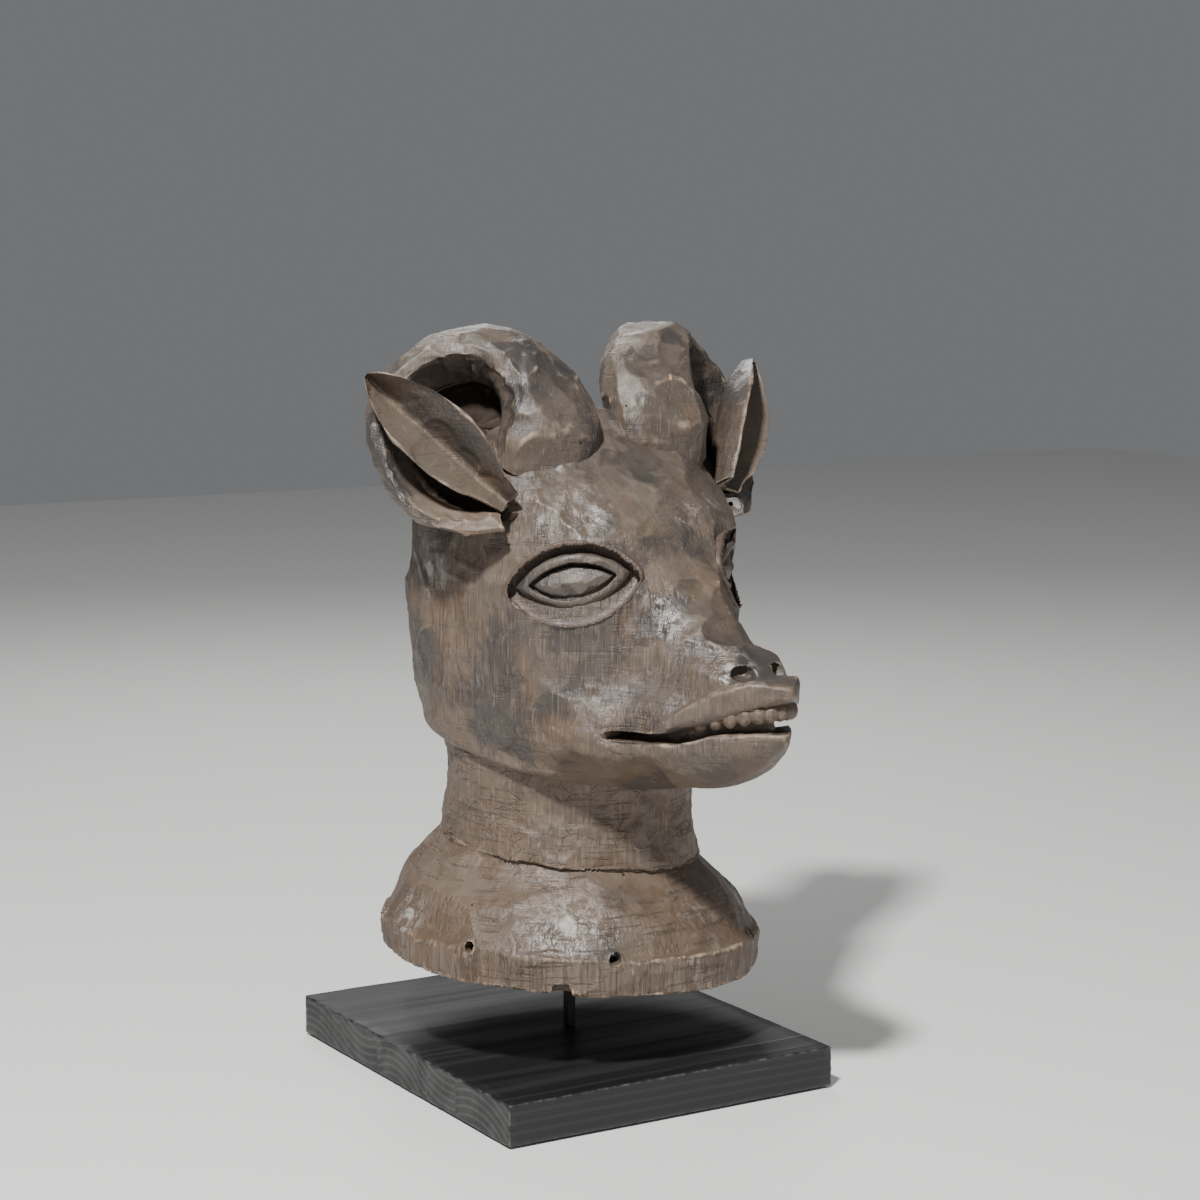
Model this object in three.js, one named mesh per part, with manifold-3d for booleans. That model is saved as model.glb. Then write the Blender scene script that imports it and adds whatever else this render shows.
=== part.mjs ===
// A horned animal-head helmet mask, carved from one log, on its display stand.
// Millimetres, +Z up. The face looks towards -Y and the animal's right side is -X.
// The origin is the middle of the felt that the stand rests on.
// The mask hangs on an inner armature, which turns on the stand's post; the mask lifts off upwards.

import * as THREE from 'three';
import { mergeVertices } from 'three/addons/utils/BufferGeometryUtils.js';
import Module from 'manifold-3d';

const wasm = await Module();
wasm.setup();

// ---- Driving dimensions ----------------------------------------------------------------------
const GAP = 0.3; // between pieces that touch

const PLINTH_WIDTH = 250; // along X, the way the boards run
const BOARD_WIDTHS = [72, 53, 60, 60, 55]; // along Y, glued edge to edge
const PLINTH_THICKNESS = 27.6;
const FELT_THICKNESS = 1.5;
const FELT_INSET = 3;

const POST_SIDE = 6; // square bar
const POST_SETBACK = 13; // post axis, forward of the plinth's middle
const STUD_SHOULDER = 0.2; // the bar stands this far out round its threaded lower end
const STUD_CLEARANCE = 0.5; // round the stud in its hole
const NUT_ACROSS_FLATS = 10;
const NUT_HEIGHT = 5;
const WASHER_DIAMETER = 18;
const WASHER_THICKNESS = 1.5;
const RECESS_DEPTH = 10; // for nut and washer, under the plinth
const RECESS_CLEARANCE = 1; // round the washer

const MASK_TURN = 8; // degrees that the mask stands turned on its post
const NECK_HALF_WIDTH = 88;
const NECK_WALL = 15;
const COLLAR_RADIUS = 131;
const COLLAR_WALL = 24;
const COLLAR_LEDGE = 4; // the collar's top, out from the neck
const HEAD_HALF_WIDTH = 106;
const HEAD_FRONT = 117; // forehead and cheeks, forward of the post
const HEAD_BACK = 105;
const HEAD_WALL = 22;
const MUZZLE_REACH = 214; // nose tip, forward of the post
const HEAD_TOP = 459;
const CROWN_THICKNESS = 59; // solid wood over the hollow

// Height of a carved crease: its height on the post axis and its slopes along X and Y
const NECK_CREASE = { z: 161, slopeX: -0.075, slopeY: 0.0676 };
const HEAD_CREASE = { z: 231, slopeX: 0, slopeY: 0.19 };
const RIM_TOP = { z: 106.5, slopeX: -0.049, slopeY: 0.0187 };
const RIM_BOTTOM = { z: 84.5, slopeX: -0.051, slopeY: 0.052 };

const HOLE_DIAMETER = 8; // fixing holes round the collar
const HOLE_ANGLES = [25, 69, 118, 160, -160, -118, -76, -35]; // degrees from the front, to the right

const HORN_LEAN = 53; // degrees from the head's plane to the curl's plane
const HORN_LENGTH = 144; // of the curl, front to back
const HORN_HEIGHT = 136;
const HORN_CENTRE_BACK = 52; // of the curl, back from the horn's root
const HORN_CENTRE_DOWN = 14; // of the curl, below the top of the head

const EAR_RUN = new THREE.Vector3(62, 52, 72); // from the ear's root to its tip
const EAR_DOWN = 50; // of the ear's root, below the top of the head
const EAR_WIDTH = 41;
const EAR_THICKNESS = 17;

const EYE_LENGTH = 46;
const EYE_HEIGHT = 25;
const SOCKET_LENGTH = 92;
const SOCKET_HEIGHT = 58;

const TOOTH_RADIUS = 6;
const TOOTH_COUNT = 13;

const TUBE_CLEARANCE = 0.5; // between the square bar's corners and the armature tube
const TUBE_WALL = 1.5;
const TUBE_BOTTOM = 150;
const DISC_RADIUS = 35;
const DISC_THICKNESS = 4;
const PAD_THICKNESS = 6;
const SPIDER_Z = 190;
const SPIDER_HEIGHT = 12;
const SPIDER_HUB_WALL = 6;
const ARM_THICKNESS = 4;
const ARM_PAD_SIZE = 16;
const ARM_PAD_DEPTH = 5;
const ARM_PAD_CLEARANCE = 2; // to the inside of the neck
const SCREW_DIAMETER = 4; // backed off the bar, so that the armature turns
const SCREW_HEAD = 5; // out from the tube
const SCREW_Z = 166;

const FINISH = {
  wood: { color: 0x7d6a58, roughness: 0.75, metalness: 0 },
  horn: { color: 0x6f645b, roughness: 0.7, metalness: 0 },
  eye: { color: 0x6a5c50, roughness: 0.7, metalness: 0 },
  teeth: { color: 0x8a7462, roughness: 0.75, metalness: 0 },
  plinth: { color: 0x24262a, roughness: 0.5, metalness: 0 },
  iron: { color: 0x151515, roughness: 0.45, metalness: 0.8 },
  felt: { color: 0x2b2b2b, roughness: 1, metalness: 0 },
};

// ---- Solids ----------------------------------------------------------------------------------
function solid(geometry) {
  const bare = geometry.index ? geometry.clone() : geometry;
  bare.deleteAttribute('normal');
  bare.deleteAttribute('uv');
  const merged = mergeVertices(bare, 1e-4);
  return new wasm.Manifold(new wasm.Mesh({
    numProp: 3,
    vertProperties: new Float32Array(merged.attributes.position.array),
    triVerts: new Uint32Array(merged.index.array),
  }));
}

function geometryOf(manifold) {
  const mesh = manifold.getMesh();
  const geometry = new THREE.BufferGeometry();
  geometry.setAttribute('position', new THREE.BufferAttribute(mesh.vertProperties, 3));
  geometry.setIndex(new THREE.BufferAttribute(mesh.triVerts, 1));
  return geometry;
}

function piece(name, manifold, finish) {
  const mesh = new THREE.Mesh(geometryOf(manifold), new THREE.MeshStandardMaterial(finish));
  mesh.name = name;
  return mesh;
}

// A closed skin over rings of equal count, each end closed from its middle
function loft(rings) {
  const count = rings[0].length;
  const points = rings.flat();
  const faces = [];
  for (let r = 0; r < rings.length - 1; r += 1) {
    for (let i = 0; i < count; i += 1) {
      const a = r * count + i;
      const b = r * count + ((i + 1) % count);
      faces.push(a, b, b + count, a, b + count, a + count);
    }
  }
  const capRing = (first, forward) => {
    const middle = new THREE.Vector3();
    for (let i = 0; i < count; i += 1) middle.addScaledVector(points[first + i], 1 / count);
    points.push(middle);
    for (let i = 0; i < count; i += 1) {
      const a = first + i;
      const b = first + ((i + 1) % count);
      faces.push(points.length - 1, forward ? a : b, forward ? b : a);
    }
  };
  capRing(0, false);
  capRing((rings.length - 1) * count, true);
  const geometry = new THREE.BufferGeometry().setFromPoints(points);
  geometry.setIndex(signedVolume(points, faces) > 0 ? faces : faces.reverse());
  return solid(geometry);
}

function signedVolume(points, faces) {
  let volume = 0;
  for (let f = 0; f < faces.length; f += 3) {
    const [a, b, c] = [points[faces[f]], points[faces[f + 1]], points[faces[f + 2]]];
    volume += a.dot(b.clone().cross(c)) / 6;
  }
  return volume;
}

function box(width, depth, height, x, y, z) {
  return solid(new THREE.BoxGeometry(width, depth, height).translate(x, y, z));
}

function rod(radius, low, high, sides) {
  const geometry = new THREE.CylinderGeometry(radius, radius, high - low, sides);
  return solid(geometry.rotateX(Math.PI / 2).translate(0, 0, (low + high) / 2));
}

// A rounded-square power curve: 2 is an ellipse and more is squarer
function powerCurve(angle, power) {
  const bend = (v) => Math.sign(v) * Math.abs(v) ** (2 / power);
  return [bend(Math.cos(angle)), bend(Math.sin(angle))];
}

// A level ring of the head, neck or collar, which may tilt
function levelRing({ z, half, front, back, power = 2, slopeX = 0, slopeY = 0 }, sides = 30) {
  return Array.from({ length: sides }, (_, i) => {
    const [c, s] = powerCurve((i / sides) * 2 * Math.PI, power);
    const x = half * c;
    const y = s > 0 ? back * s : front * s;
    return new THREE.Vector3(x, y, z + slopeX * x + slopeY * y);
  });
}

// An upright ring across the muzzle, at a distance forward of the post
function muzzleRing({ reach, top, bottom, half, power = 2.4 }, sides = 20) {
  return Array.from({ length: sides }, (_, i) => {
    const [c, s] = powerCurve((i / sides) * 2 * Math.PI, power);
    return new THREE.Vector3(half * c, -reach, (top + bottom) / 2 + ((top - bottom) / 2) * s);
  });
}

function grown(manifold, middle, share) {
  return manifold
    .translate([-middle.x, -middle.y, -middle.z])
    .scale([share, share, share])
    .translate([middle.x, middle.y, middle.z]);
}

// A cut can leave loose chips thinner than a shaving; the carving is the one large body
function withoutChips(manifold) {
  return manifold.decompose().sort((a, b) => b.volume() - a.volume())[0];
}

function mirrored(manifold) {
  return manifold.mirror([1, 0, 0]);
}

// ---- Mask ------------------------------------------------------------------------------------
// Places on the head are shares: of its height, of its half width, of its depth forward and back of
// the post, and of the muzzle's reach
const HEAD_BASE = 205;
const headZ = (share) => HEAD_BASE + (HEAD_TOP - HEAD_BASE) * share;
const reachAt = (share) => MUZZLE_REACH * share;
const wide = (share) => HEAD_HALF_WIDTH * share;
const fore = (share) => HEAD_FRONT * share;
const aft = (share) => HEAD_BACK * share;

const HOLLOW_TOP = HEAD_TOP - CROWN_THICKNESS;
const EYE_SPOT = new THREE.Vector3(wide(0.66), -fore(0.778), headZ(0.575));
const EAR_ROOT = new THREE.Vector3(wide(0.953), -fore(0.427), HEAD_TOP - EAR_DOWN);
const EAR_TIP = EAR_ROOT.clone().add(EAR_RUN);
const HORN_ROOT = new THREE.Vector3(wide(0.406), -fore(0.342), HEAD_TOP - HORN_CENTRE_DOWN);
const MOUTH_Z = headZ(0.181);

// The two lowest rings follow the neck
function craniumOuter() {
  const neck = NECK_HALF_WIDTH;
  const rings = [
    [0.22, 0.94, 0.974, 0.905], [0.37, 0.99, 1.0, 0.981], [0.51, 1.0, 1.0, 1.0],
    [0.63, 1.0, 0.949, 0.943], [0.74, 0.99, 0.821, 0.867], [0.82, 0.93, 0.675, 0.781],
    [0.89, 0.80, 0.538, 0.705], [0.95, 0.58, 0.419, 0.514], [0.985, 0.30, 0.333, 0.286],
  ].map(([share, half, front, back]) => (
    { z: headZ(share), half: wide(half), front: fore(front), back: aft(back) }));
  return loft([
    { z: headZ(0), half: neck - 10, front: neck - 4, back: neck - 12 },
    { z: headZ(0.12), half: neck + 4, front: neck + 18, back: neck - 2 },
    ...rings,
  ].map((ring) => levelRing({ ...ring, power: 2.6 })));
}

// Rings of the muzzle: shares of its reach, heights of their top and bottom, and half widths
function alongMuzzle(rings, power) {
  return loft(rings.map(([share, top, bottom, half]) => muzzleRing({
    reach: reachAt(share), top: headZ(top), bottom: headZ(bottom), half, power,
  })));
}

function snout() {
  return alongMuzzle([
    [0.20, 0.866, 0.169, 80], [0.42, 0.787, 0.177, 72], [0.56, 0.638, 0.185, 51],
    [0.63, 0.587, 0.193, 40], [0.70, 0.539, 0.205, 33], [0.84, 0.457, 0.224, 28],
    [0.93, 0.413, 0.24, 18], [0.97, 0.402, 0.252, 12], [1.0, 0.382, 0.264, 4],
  ], 2.4);
}

function jaw() {
  return alongMuzzle([
    [0.15, 0.256, 0.028, 94], [0.42, 0.24, 0.024, 84], [0.56, 0.232, 0.031, 67],
    [0.70, 0.224, 0.047, 52], [0.82, 0.22, 0.079, 36], [0.91, 0.224, 0.118, 24],
    [0.97, 0.228, 0.165, 13], [1.015, 0.228, 0.201, 3],
  ], 2.2);
}

// The upper lip flares out like a shelf over the teeth
function upperLip() {
  return alongMuzzle([
    [0.68, 0.208, 0.189, 49], [0.78, 0.26, 0.209, 43], [0.83, 0.299, 0.228, 38],
    [0.96, 0.36, 0.276, 25], [1.0, 0.36, 0.291, 17], [1.03, 0.354, 0.303, 10], [1.056, 0.343, 0.315, 3],
  ], 4);
}

// The teeth follow the lip's outline a little way inside it, and stand on one strip of gum
function toothSpots() {
  return Array.from({ length: TOOTH_COUNT }, (_, i) => {
    const angle = ((i / (TOOTH_COUNT - 1)) * 2 - 1) * 1.3;
    const back = (1 - Math.cos(angle)) * 53;
    return new THREE.Vector3(
      32 * Math.sin(angle), -(reachAt(1.01) - back), headZ(0.276) - back * 0.22);
  });
}

function teethRow(radius) {
  const spots = toothSpots();
  const knobs = spots.map((spot) => solid(new THREE.IcosahedronGeometry(radius, 1)
    .translate(spot.x, spot.y, spot.z)));
  const gum = loft(spots.map((spot, i) => {
    const ahead = spots[Math.min(i + 1, spots.length - 1)].clone();
    const outward = ahead.sub(spots[Math.max(i - 1, 0)]).cross(new THREE.Vector3(0, 0, 1)).normalize();
    return [[-1, -1], [1, -1], [1, 1], [-1, 1]].map(([u, v]) => spot.clone()
      .addScaledVector(outward, radius * 0.6 * u)
      .add(new THREE.Vector3(0, 0, radius * 0.6 * v)));
  }));
  return knobs.reduce((row, knob) => row.add(knob), gum);
}

// A groove between the lips, cut in from the outside and left joined in the middle
function mouthGroove() {
  const corner = reachAt(0.55);
  const tip = reachAt(1.2);
  const slit = box(160, tip - corner, 3.5, 0, -(corner + tip) / 2, 0)
    .rotate([-3, 0, 0]).translate([0, 0, MOUTH_Z]);
  const core = loft([[0.3, 70], [0.56, 54], [0.8, 28], [0.93, 10]].map(([share, half]) => (
    muzzleRing({ reach: reachAt(share), top: MOUTH_Z + 49, bottom: MOUTH_Z - 51, half }))));
  return slit.subtract(core);
}

// An almond along the face: x is along its length, y its depth, z its height
function almond(length, depth, height) {
  const half = length / 2;
  const rings = [-0.98, -0.8, -0.5, -0.15, 0.2, 0.55, 0.82, 0.98].map((share) => {
    const swell = Math.cos(share * Math.PI / 2) ** 0.8 + 0.05;
    return Array.from({ length: 12 }, (_, i) => {
      const angle = (i / 12) * 2 * Math.PI;
      return new THREE.Vector3(
        half * share, depth * swell * Math.cos(angle), height / 2 * swell * Math.sin(angle));
    });
  });
  return loft(rings);
}

// Right-hand eye spot and outward turn; the left one is its mirror
function atRightEye(manifold) {
  return manifold.rotate([0, -8, -43]).translate([-EYE_SPOT.x, EYE_SPOT.y, EYE_SPOT.z]);
}

function eyeball(extra) {
  return almond(EYE_LENGTH + 2 * extra, 8 + extra, EYE_HEIGHT + 2 * extra);
}

function nostril(side) {
  const cut = new THREE.SphereGeometry(7, 8, 6).scale(1.3, 1.1, 0.8);
  return solid(cut.translate(side * 17, -reachAt(0.96), headZ(0.37)));
}

function headHollow() {
  const inNeck = NECK_HALF_WIDTH - NECK_WALL;
  const inHead = (share) => [wide(share) - HEAD_WALL, aft(share) - HEAD_WALL];
  const rings = [
    [RIM_BOTTOM.z - 40, inNeck, inNeck], [HEAD_BASE + 18, inNeck, inNeck],
    [headZ(0.25), ...inHead(0.925)], [headZ(0.55), ...inHead(0.965)],
    [HOLLOW_TOP - 18, ...inHead(0.825)], [HOLLOW_TOP, ...inHead(0.665)],
  ];
  return loft(rings.map(([z, half, deep]) => levelRing({ z, half, front: deep, back: deep }, 24)));
}

// The space above a sloping crease
function above(crease) {
  const size = 700;
  return loft([
    levelRing({ ...crease, half: size, front: size, back: size, power: 2 }, 4),
    levelRing({ ...crease, z: crease.z + size, half: size, front: size, back: size, power: 2 }, 4),
  ]);
}

const raised = (crease, by) => ({ ...crease, z: crease.z + by });

function headOuter() {
  return craniumOuter().add(snout()).add(jaw()).add(upperLip());
}

function carvedHead(outer) {
  const rightSocket = atRightEye(almond(SOCKET_LENGTH, 9, SOCKET_HEIGHT).translate([0, -7, 0]));
  const rightPocket = atRightEye(eyeball(GAP));
  const carved = outer
    .intersect(above(raised(HEAD_CREASE, GAP / 2)))
    .subtract(headHollow())
    .subtract(mouthGroove())
    .subtract(teethRow(TOOTH_RADIUS + GAP))
    .subtract(nostril(1))
    .subtract(nostril(-1))
    .subtract(rightSocket)
    .subtract(rightPocket)
    .subtract(mirrored(rightSocket))
    .subtract(mirrored(rightPocket));
  return withoutChips(carved);
}

function carvedNeck() {
  const shapes = [
    { z: RIM_TOP.z, half: NECK_HALF_WIDTH + 6, front: NECK_HALF_WIDTH + 8, back: NECK_HALF_WIDTH + 6 },
    { z: NECK_CREASE.z, half: NECK_HALF_WIDTH + 2, front: NECK_HALF_WIDTH + 3, back: NECK_HALF_WIDTH + 2 },
    { z: 195, half: NECK_HALF_WIDTH - 1, front: NECK_HALF_WIDTH, back: NECK_HALF_WIDTH - 1 },
    { z: 226, half: NECK_HALF_WIDTH + 2, front: NECK_HALF_WIDTH + 8, back: NECK_HALF_WIDTH + 2 },
    { z: 262, half: NECK_HALF_WIDTH + 6, front: NECK_HALF_WIDTH + 14, back: NECK_HALF_WIDTH + 6 },
  ];
  return loft(shapes.map((shape) => levelRing(shape)))
    .subtract(above(raised(HEAD_CREASE, -GAP / 2)))
    .intersect(above(raised(NECK_CREASE, GAP / 2)))
    .subtract(headHollow());
}

function collarSkin(inset, reachDown) {
  const ring = (plane, radius, by = 0) => levelRing({
    ...plane, z: plane.z + by, half: radius - inset, front: radius - inset, back: radius - inset,
  });
  const topRadius = NECK_HALF_WIDTH + COLLAR_LEDGE;
  const between = (COLLAR_RADIUS + topRadius) / 2;
  const midPlane = {
    z: (NECK_CREASE.z + RIM_TOP.z) / 2 + 6,
    slopeX: (NECK_CREASE.slopeX + RIM_TOP.slopeX) / 2,
    slopeY: (NECK_CREASE.slopeY + RIM_TOP.slopeY) / 2,
  };
  return loft([
    ring(RIM_BOTTOM, COLLAR_RADIUS - 1, -reachDown),
    ring(RIM_TOP, COLLAR_RADIUS),
    ring(midPlane, between + 2),
    ring(NECK_CREASE, topRadius, 2),
  ]);
}

function fixingHole(angle) {
  const turn = THREE.MathUtils.degToRad(angle);
  const away = new THREE.Vector3(-Math.sin(turn), -Math.cos(turn), 0);
  const z = RIM_TOP.z + away.x * COLLAR_RADIUS * RIM_TOP.slopeX + away.y * COLLAR_RADIUS * RIM_TOP.slopeY;
  return rod(HOLE_DIAMETER / 2, 0, 70, 10)
    .rotate([90, 0, 0])
    .translate([0, -(COLLAR_RADIUS - 50), 0])
    .rotate([0, 0, -angle])
    .translate([0, 0, z]);
}

function carvedCollar() {
  const hollow = collarSkin(COLLAR_WALL, 30);
  const whole = collarSkin(0, 0)
    .subtract(hollow)
    .subtract(headHollow())
    .subtract(above(raised(NECK_CREASE, -GAP / 2)));
  return HOLE_ANGLES.reduce((collar, angle) => collar.subtract(fixingHole(angle)), whole);
}

// The horn curls in a leaning plane: back and down, then out and forward to its tip under the ear
const hornLean = THREE.MathUtils.degToRad(HORN_LEAN);
const hornBack = new THREE.Vector3(Math.sin(hornLean), Math.cos(hornLean), 0);
const hornSide = new THREE.Vector3(Math.cos(hornLean), -Math.sin(hornLean), 0);

function hornPoint(back, z, aside) {
  return HORN_ROOT.clone()
    .addScaledVector(hornBack, back)
    .addScaledVector(hornSide, aside)
    .setZ(z);
}

// One ring of the horn: it starts square across the forehead and turns into the leaning plane
function hornRing(share) {
  const turn = THREE.MathUtils.degToRad(182 - 290 * share);
  const thick = THREE.MathUtils.lerp(25, 9, share ** 1.3);
  const across = THREE.MathUtils.lerp(38, 9, share ** 1.1);
  const swing = Math.sin(Math.PI * Math.min(share * 1.6, 1));
  const aside = 45 * THREE.MathUtils.smoothstep(share, 0.35, 1) - 14 * swing;
  const middle = hornPoint(HORN_CENTRE_BACK + (HORN_LENGTH / 2 - thick) * Math.cos(turn),
    HORN_ROOT.z + (HORN_HEIGHT / 2 - thick) * Math.sin(turn), aside);
  const level = new THREE.Vector3(1, 0, 0).lerp(hornSide, Math.min(share * 2.5, 1)).normalize();
  const outward = hornBack.clone().multiplyScalar(Math.cos(turn)).setZ(Math.sin(turn));
  outward.addScaledVector(level, -outward.dot(level)).normalize();
  return Array.from({ length: 14 }, (_, i) => {
    const [c, s] = powerCurve((i / 14) * 2 * Math.PI, 2.5);
    return middle.clone().addScaledVector(outward, thick * c).addScaledVector(level, across * s);
  });
}

function leftHornSweep() {
  return loft(Array.from({ length: 17 }, (_, i) => hornRing(i / 16)));
}

// The carver left the middle of the curl as a sunk web against the head
function leftHornWeb() {
  return loft([-26, -6].map((aside) => Array.from({ length: 14 }, (_, i) => {
    const angle = (i / 14) * 2 * Math.PI;
    return hornPoint(HORN_CENTRE_BACK + HORN_LENGTH * 0.32 * Math.cos(angle),
      HORN_ROOT.z + HORN_HEIGHT * 0.32 * Math.sin(angle), aside);
  })));
}

// The ear is a pointed leaf with a trough along its front
function leftEar() {
  const along = EAR_TIP.clone().sub(EAR_ROOT);
  const faceOut = new THREE.Vector3(0.1, -0.99, 0.05);
  const front = faceOut.addScaledVector(along, -faceOut.dot(along) / along.lengthSq()).normalize();
  const across = along.clone().cross(front).normalize();
  const stations = [
    [-0.07, 0.42], [0.1, 0.74], [0.3, 0.98], [0.5, 1], [0.7, 0.84], [0.86, 0.56], [0.985, 0.16],
  ];
  return loft(stations.map(([share, swell]) => {
    const middle = EAR_ROOT.clone().addScaledVector(along, share);
    const half = EAR_WIDTH / 2 * swell;
    const deep = EAR_THICKNESS * (0.45 + 0.55 * swell);
    const outline = [
      [-1, 0.1], [-0.8, 0.5], [0, -0.1], [0.8, 0.5], [1, 0.1], [0.55, -0.35], [0, -0.5], [-0.55, -0.35],
    ];
    return outline.map(([u, v]) => middle.clone()
      .addScaledVector(across, half * u)
      .addScaledVector(front, deep * v));
  }));
}

function mask() {
  const group = new THREE.Group();
  const outer = headOuter();
  const headMiddle = new THREE.Vector3(0, (HEAD_BACK - HEAD_FRONT) / 2, headZ(0.5));
  const keepOut = grown(outer, headMiddle, 1.004);
  const leftHorn = leftHornSweep().add(leftHornWeb()).subtract(keepOut);
  const leftEarSolid = leftEar().subtract(keepOut);
  const rightEye = atRightEye(eyeball(0));
  group.add(piece('head', carvedHead(outer), FINISH.wood));
  group.add(piece('neck', carvedNeck(), FINISH.wood));
  group.add(piece('collar', carvedCollar(), FINISH.wood));
  group.add(piece('horn_left', leftHorn, FINISH.horn));
  group.add(piece('horn_right', mirrored(leftHorn), FINISH.horn));
  group.add(piece('ear_left', leftEarSolid, FINISH.wood));
  group.add(piece('ear_right', mirrored(leftEarSolid), FINISH.wood));
  group.add(piece('eye_right', rightEye, FINISH.eye));
  group.add(piece('eye_left', mirrored(rightEye), FINISH.eye));
  group.add(piece('upper_teeth', teethRow(TOOTH_RADIUS), FINISH.teeth));
  return group;
}

// ---- Armature --------------------------------------------------------------------------------
const padTop = HOLLOW_TOP - GAP;
const discTop = padTop - PAD_THICKNESS - GAP;
const discBottom = discTop - DISC_THICKNESS;
const postCorner = POST_SIDE / Math.SQRT2; // the square bar's corners, out from its axis
const tubeInner = postCorner + TUBE_CLEARANCE / 2;
const tubeOuter = tubeInner + TUBE_WALL;

function armatureTube() {
  const screwHole = rod(SCREW_DIAMETER / 2 + GAP, 0, 20, 10).rotate([90, 0, 0]).translate([0, 0, SCREW_Z]);
  return rod(tubeOuter, TUBE_BOTTOM, discBottom - GAP, 20)
    .subtract(rod(tubeInner, TUBE_BOTTOM - 5, discBottom + 5, 20))
    .subtract(screwHole);
}

// The arms stand square to the plinth, so the mask's turn is taken off again
const ARM_TURNS = [45, 135, 225, 315].map((turn) => turn - MASK_TURN);

function spider() {
  const low = SPIDER_Z;
  const reach = NECK_HALF_WIDTH - NECK_WALL - ARM_PAD_CLEARANCE - ARM_PAD_DEPTH - GAP;
  const hub = rod(tubeOuter + SPIDER_HUB_WALL, low, low + SPIDER_HEIGHT, 20);
  const arm = box(reach, SPIDER_HEIGHT - 4, ARM_THICKNESS, reach / 2, 0, low + SPIDER_HEIGHT / 2);
  return ARM_TURNS.reduce((body, turn) => body.add(arm.rotate([0, 0, turn])), hub)
    .subtract(rod(tubeOuter + GAP, low - 5, low + SPIDER_HEIGHT + 5, 20));
}

function armPad() {
  const inner = NECK_HALF_WIDTH - NECK_WALL - ARM_PAD_CLEARANCE - ARM_PAD_DEPTH;
  const z = SPIDER_Z + SPIDER_HEIGHT / 2;
  return box(ARM_PAD_DEPTH, ARM_PAD_SIZE, ARM_PAD_SIZE, inner + ARM_PAD_DEPTH / 2, 0, z);
}

function armature() {
  const group = new THREE.Group();
  group.add(piece('armature_tube', armatureTube(), FINISH.iron));
  group.add(piece('crown_disc', rod(DISC_RADIUS, discBottom, discTop, 28), FINISH.iron));
  group.add(piece('crown_pad', rod(DISC_RADIUS, discTop + GAP, padTop, 28), FINISH.felt));
  group.add(piece('neck_spider', spider(), FINISH.iron));
  ARM_TURNS.forEach((turn, n) => {
    const pad = piece(`spider_pad_${n + 1}`, armPad(), FINISH.felt);
    pad.rotation.z = THREE.MathUtils.degToRad(turn);
    group.add(pad);
  });
  const screw = rod(SCREW_DIAMETER / 2, postCorner + GAP, tubeOuter + SCREW_HEAD, 10).rotate([90, 0, 0]);
  group.add(piece('set_screw', screw.translate([0, 0, SCREW_Z]), FINISH.iron));
  return group;
}

// ---- Stand -----------------------------------------------------------------------------------
const plinthDepth = BOARD_WIDTHS.reduce((sum, width) => sum + width, 0);
const postTop = discBottom - GAP;

const studRadius = POST_SIDE / 2 - STUD_SHOULDER;

function stand() {
  const group = new THREE.Group();
  const studHole = rod(studRadius + STUD_CLEARANCE, -5, PLINTH_THICKNESS + 5, 16);
  const recess = rod(WASHER_DIAMETER / 2 + RECESS_CLEARANCE, -5, RECESS_DEPTH, 24);
  const boring = studHole.add(recess).translate([0, -POST_SETBACK, 0]);
  let front = -plinthDepth / 2;
  BOARD_WIDTHS.forEach((width, n) => {
    const board = box(PLINTH_WIDTH, width - GAP, PLINTH_THICKNESS, 0, front + width / 2, 0)
      .translate([0, 0, PLINTH_THICKNESS / 2])
      .subtract(boring);
    group.add(piece(`plinth_board_${n + 1}`, board, FINISH.plinth));
    front += width;
  });
  const feltTop = -GAP / 3;
  const feltWidth = PLINTH_WIDTH - 2 * FELT_INSET;
  const feltDepth = plinthDepth - 2 * FELT_INSET;
  const felt = box(feltWidth, feltDepth, FELT_THICKNESS + feltTop, 0, 0, (feltTop - FELT_THICKNESS) / 2);
  group.add(piece('base_felt', felt, FINISH.felt));

  const washerTop = RECESS_DEPTH - GAP;
  const nutTop = washerTop - WASHER_THICKNESS - GAP;
  const stud = rod(studRadius, nutTop - NUT_HEIGHT - 2, PLINTH_THICKNESS + GAP + 0.1, 16);
  const barHeight = postTop - PLINTH_THICKNESS - GAP;
  const bar = box(POST_SIDE, POST_SIDE, barHeight, 0, 0, PLINTH_THICKNESS + GAP + barHeight / 2);
  const bore = rod(studRadius + GAP, 0, RECESS_DEPTH + 5, 16);
  const washer = rod(WASHER_DIAMETER / 2, washerTop - WASHER_THICKNESS, washerTop, 24).subtract(bore);
  const nut = rod(NUT_ACROSS_FLATS / Math.sqrt(3), nutTop - NUT_HEIGHT, nutTop, 6).subtract(bore);
  const fixed = new THREE.Group();
  fixed.add(piece('post', bar.add(stud), FINISH.iron));
  fixed.add(piece('post_washer', washer, FINISH.iron));
  fixed.add(piece('post_nut', nut, FINISH.iron));
  fixed.position.y = -POST_SETBACK;
  group.add(fixed);
  return group;
}

// ---- Assembly --------------------------------------------------------------------------------
const object = new THREE.Group();
const onPost = new THREE.Group();
onPost.position.y = -POST_SETBACK;
onPost.rotation.z = THREE.MathUtils.degToRad(MASK_TURN);
onPost.add(mask());
onPost.add(armature());
object.add(stand());
object.add(onPost);
object.position.z = FELT_THICKNESS;

export default object;
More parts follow.
